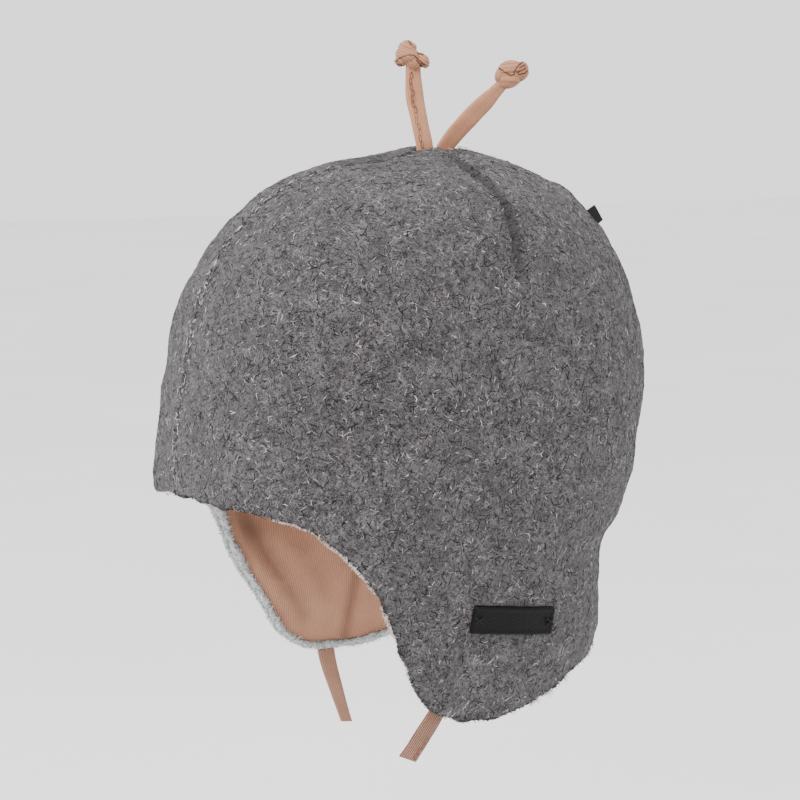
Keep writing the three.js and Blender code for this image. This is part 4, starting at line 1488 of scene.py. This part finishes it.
def build_tie(name, tie_turn, length, drift, mirror, seed, material, ends, slant):
    """A tie below its flap. ends are the shares of its width at its top and at its cut end."""
    lengths = np.linspace(0, RIM_LENGTH, 4000)
    at = np.interp(tie_turn, read_rim(lengths)[:, 0], lengths)
    turn, path, _, into = rim_frame(np.array(at))
    top, _ = cloth_place(turn, path, turn < DART_TURN, -ROLL_DEPTH)
    top = top - into * (ROLL_SHOW + SEAT_GAP)
    low = top + np.array([0, drift * length, -length * math.sqrt(1 - drift ** 2)])
    straight = top - into * length * TIE_SQUARE
    bend = top + (low - top) * TIE_BEND - np.array([0, 0, length * TIE_SAG])
    shares = np.linspace(0, 1, 50)
    middle, ahead = bezier(top, straight, bend, low, shares)
    widths = TIE_WIDTH * (ends[0] + (ends[1] - ends[0]) * smoothstep(shares, 0, 1))
    points, uv = strip_mesh(middle, ahead, widths, TIE_THICKNESS, 9, 0.05, seed, slant)
    points, faces, uv = capped(points, uv)
    if mirror:
        points, faces = flipped(points, faces)
    painted_shade = np.zeros(len(points))
    piece = mesh_object(f"jersey_{name}", points, faces, material, uv, slot="strap", painted_shade=painted_shade)
    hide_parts(name)
    return middle, ahead


# Patch and back tab

PATCH_COLUMNS = 60
PATCH_ROWS = 22
PATCH_GROWTH = 1.02
PATCH_BORDER = 0.8
PATCH_EDGE = 0.45
PATCH_LEAN = 1.0
PATCH_BOW = 0.25
PATCH_LIFT = SEAT_GAP + 0.25 + PATCH_THICKNESS
BORDER_HEIGHT = 0.28
ROUND_FROM = 0.93
CROSS_RADIUS = 0.36
CROSS_PLACE = 0.435
CROSS_REACH = 1.5
TAG_GROWTH = 1.15

side_turns = np.linspace(0.2, 0.8, 400)


def side_place(back, level):
    """The turn and path of a place on the hat's side."""
    path = path_to(WALL_TOTAL - level)
    turns = side_turns + 0 * path
    at = np.interp(back, outline(turns, np.full(len(turns), path))[:, 1], turns)
    return at, path


def patch_point(p, q, lift):
    """A place on the patch, from its middle along its length and up, at a height over the felt."""
    level = WALL_TOTAL - CROWN_HEIGHT - FLAP_DROP + PATCH_RISE - 0.6
    back = PATCH_PLACE + p * math.cos(PATCH_TILT) - q * math.sin(PATCH_TILT)
    height = level - p * math.sin(PATCH_TILT) + q * math.cos(PATCH_TILT)
    turn, path = side_place(back, height)
    spot, _ = cloth_place(turn, path, turn < DART_TURN, lift)
    spot[0] += SEAM_GAP / 2
    return spot


def build_patch():
    half_length = PATCH_LENGTH * PATCH_GROWTH / 2
    half_height = PATCH_HEIGHT / 2
    rows = []
    for p_share in np.linspace(-1, 1, PATCH_COLUMNS):
        rounded = 1 - 0.1 * max(0, (abs(p_share) - ROUND_FROM) / (1 - ROUND_FROM)) ** 2
        row = []
        for q_share in np.linspace(-1, 1, PATCH_ROWS):
            lean = PATCH_LEAN * q_share - PATCH_BOW * (1 - q_share * q_share) * max(0, p_share)
            p = p_share * half_length + lean
            q = q_share * half_height * rounded
            edge = min(half_length * (1 - abs(p_share)), half_height * (1 - abs(q_share)))
            border = BORDER_HEIGHT * math.exp(-((edge - PATCH_BORDER) / PATCH_EDGE) ** 2)
            drop = PATCH_THICKNESS * (1 - min(1, edge / PATCH_EDGE)) ** 2
            row.append(patch_point(p, q, PATCH_LIFT + border - drop))
        rows.append(row)
    points = np.array(rows)
    piece = mesh_object("patch_plain", points, grid_faces(PATCH_COLUMNS, PATCH_ROWS), patch, slot="patch")
    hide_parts("label_patch")
    threads = []
    for end in (-1, 1):
        for slope in (-1, 1):
            spots = []
            for share in np.linspace(-1, 1, 9):
                p = end * CROSS_PLACE * half_length * 2 + share * CROSS_REACH
                q = slope * share * CROSS_REACH * 0.75
                rise = 0.32 * (1 - share ** 4) - 0.05
                spots.append(patch_point(p, q, PATCH_LIFT + rise))
            spots = np.array(spots)
            normals = np.tile(outward(0.5, path_to(CROWN_HEIGHT + 20)), (len(spots), 1))
            threads.append(tube(spots, normals, CROSS_RADIUS, False))
    mesh_object("patch_stitches", *joined_meshes(threads), black_thread, slot="patch")


def build_tag():
    """The folded tab that stands in the centre seam at the back."""
    path = path_to(TAG_DROP)
    out = outward(1.0, path)
    flat = outline(1.0, path)
    seat = flat + out * seam_relief(flat)
    sideways = np.array([1.0, 0, 0])
    down = np.cross(sideways, out)
    rings = []
    around = full_turn(28)
    x = np.sign(np.cos(around)) * np.abs(np.cos(around)) ** 0.35
    y = np.sign(np.sin(around)) * np.abs(np.sin(around)) ** 0.35
    for share in np.linspace(0, 1, 16):
        middle = seat + out * (SEAT_GAP + share * TAG_SHOW * TAG_GROWTH)
        thick = TAG_THICKNESS * (1 + 0.5 * math.sin(math.pi * share))
        rings.append(middle + down * (x[:, None] * TAG_LENGTH / 2) + sideways * (y[:, None] * thick / 2))
    points = np.array(rings)
    points, faces, _ = capped(points, points[..., :2])
    piece = mesh_object("folded_tab", points, faces, tab, slot="tab")
    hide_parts("back_tag")


build_lining()
build_hem_seam()
build_roll()
EAR_FRONT = (EAR_PLACE - EAR_SPACING / 2, -0.27, -0.02, 1.0, 0.0)
EAR_BACK = (EAR_PLACE + EAR_SPACING / 2, 0.38, 0.55, 0.6, 0.25)
ear_middle, ear_ahead = build_ear("ear_front", *EAR_FRONT, FRONT_FOLDS, FRONT_CREASE_SHADES, 51, 0.5, 0.12)
chain_stitch("stitches_ear_front", ear_middle, ear_ahead, EAR_THICKNESS, EAR_WIDTH * 0.22, (0.8, 24))
build_ear("ear_back", *EAR_BACK, BACK_FOLDS, BACK_CREASE_SHADES, 57, 0.2, 0.3)
# The ties lie as in the photo, a little shorter or longer than in the source
TIE_LEFT = (TIE_LEFT_TURN, TIE_LEFT_LENGTH - 1.8, TIE_LEFT_DRIFT)
TIE_RIGHT = (TIE_RIGHT_TURN, TIE_RIGHT_LENGTH + 1.5, TIE_RIGHT_DRIFT + 0.06)
tie_middle, tie_ahead = build_tie("tie_left", *TIE_LEFT, False, 61, tie_jersey, (0.98, 1.06), -0.3)
tie_span = (TIE_LEFT[1] * 0.45, TIE_LEFT[1] * 0.9)
chain_stitch("stitches_tie_left", tie_middle, tie_ahead, TIE_THICKNESS, TIE_WIDTH * 0.3, tie_span, 0.08)
# The far tie takes the jersey painted lighter, as painted light
build_tie("tie_right", *TIE_RIGHT, True, 67, far_tie_painted_light_jersey, (1.25, 0.82), 0.3)
build_patch()
build_tag()


# Floor and light, in metres

FLOOR_SIZE = 6.0
FLOOR_LEVEL = -0.45


def place_stage():
    mesh = bpy.data.meshes.new("floor")
    corners = ((-1, -1), (1, -1), (1, 1), (-1, 1))
    mesh.from_pydata([(x * FLOOR_SIZE, y * FLOOR_SIZE, FLOOR_LEVEL) for x, y in corners], [], [(0, 1, 2, 3)])
    floor = bpy.data.objects.new("floor", mesh)
    bpy.context.scene.collection.objects.link(floor)
    s = Shader("pale_floor", 0.9)
    s.colour(s.ramp(s.noise(400, 2), [(0.3, (246, 246, 246)), (0.7, (252, 252, 252))]))
    mesh.materials.append(s.material)


def area_light(name, place, size, power, aim=(0, 0, -0.08)):
    light = bpy.data.lights.new(name, "AREA")
    light.shape = "SQUARE"
    light.size = size
    light.energy = power
    lamp = bpy.data.objects.new(name, light)
    bpy.context.scene.collection.objects.link(lamp)
    lamp.location = place
    lamp.rotation_euler = (Vector(aim) - Vector(place)).to_track_quat("-Z", "Y").to_euler()


def place_lights():
    world = bpy.data.worlds.new("studio")
    bpy.context.scene.world = world
    world.use_nodes = True
    background = world.node_tree.nodes["Background"]
    background.inputs["Color"].default_value = (1, 1, 1, 1)
    background.inputs["Strength"].default_value = 1.7
    area_light("key", (0.35, -1.2, 1.0), 1.1, 44)
    area_light("fill", (1.3, 0.1, 0.7), 1.4, 14)


place_stage()
place_lights()
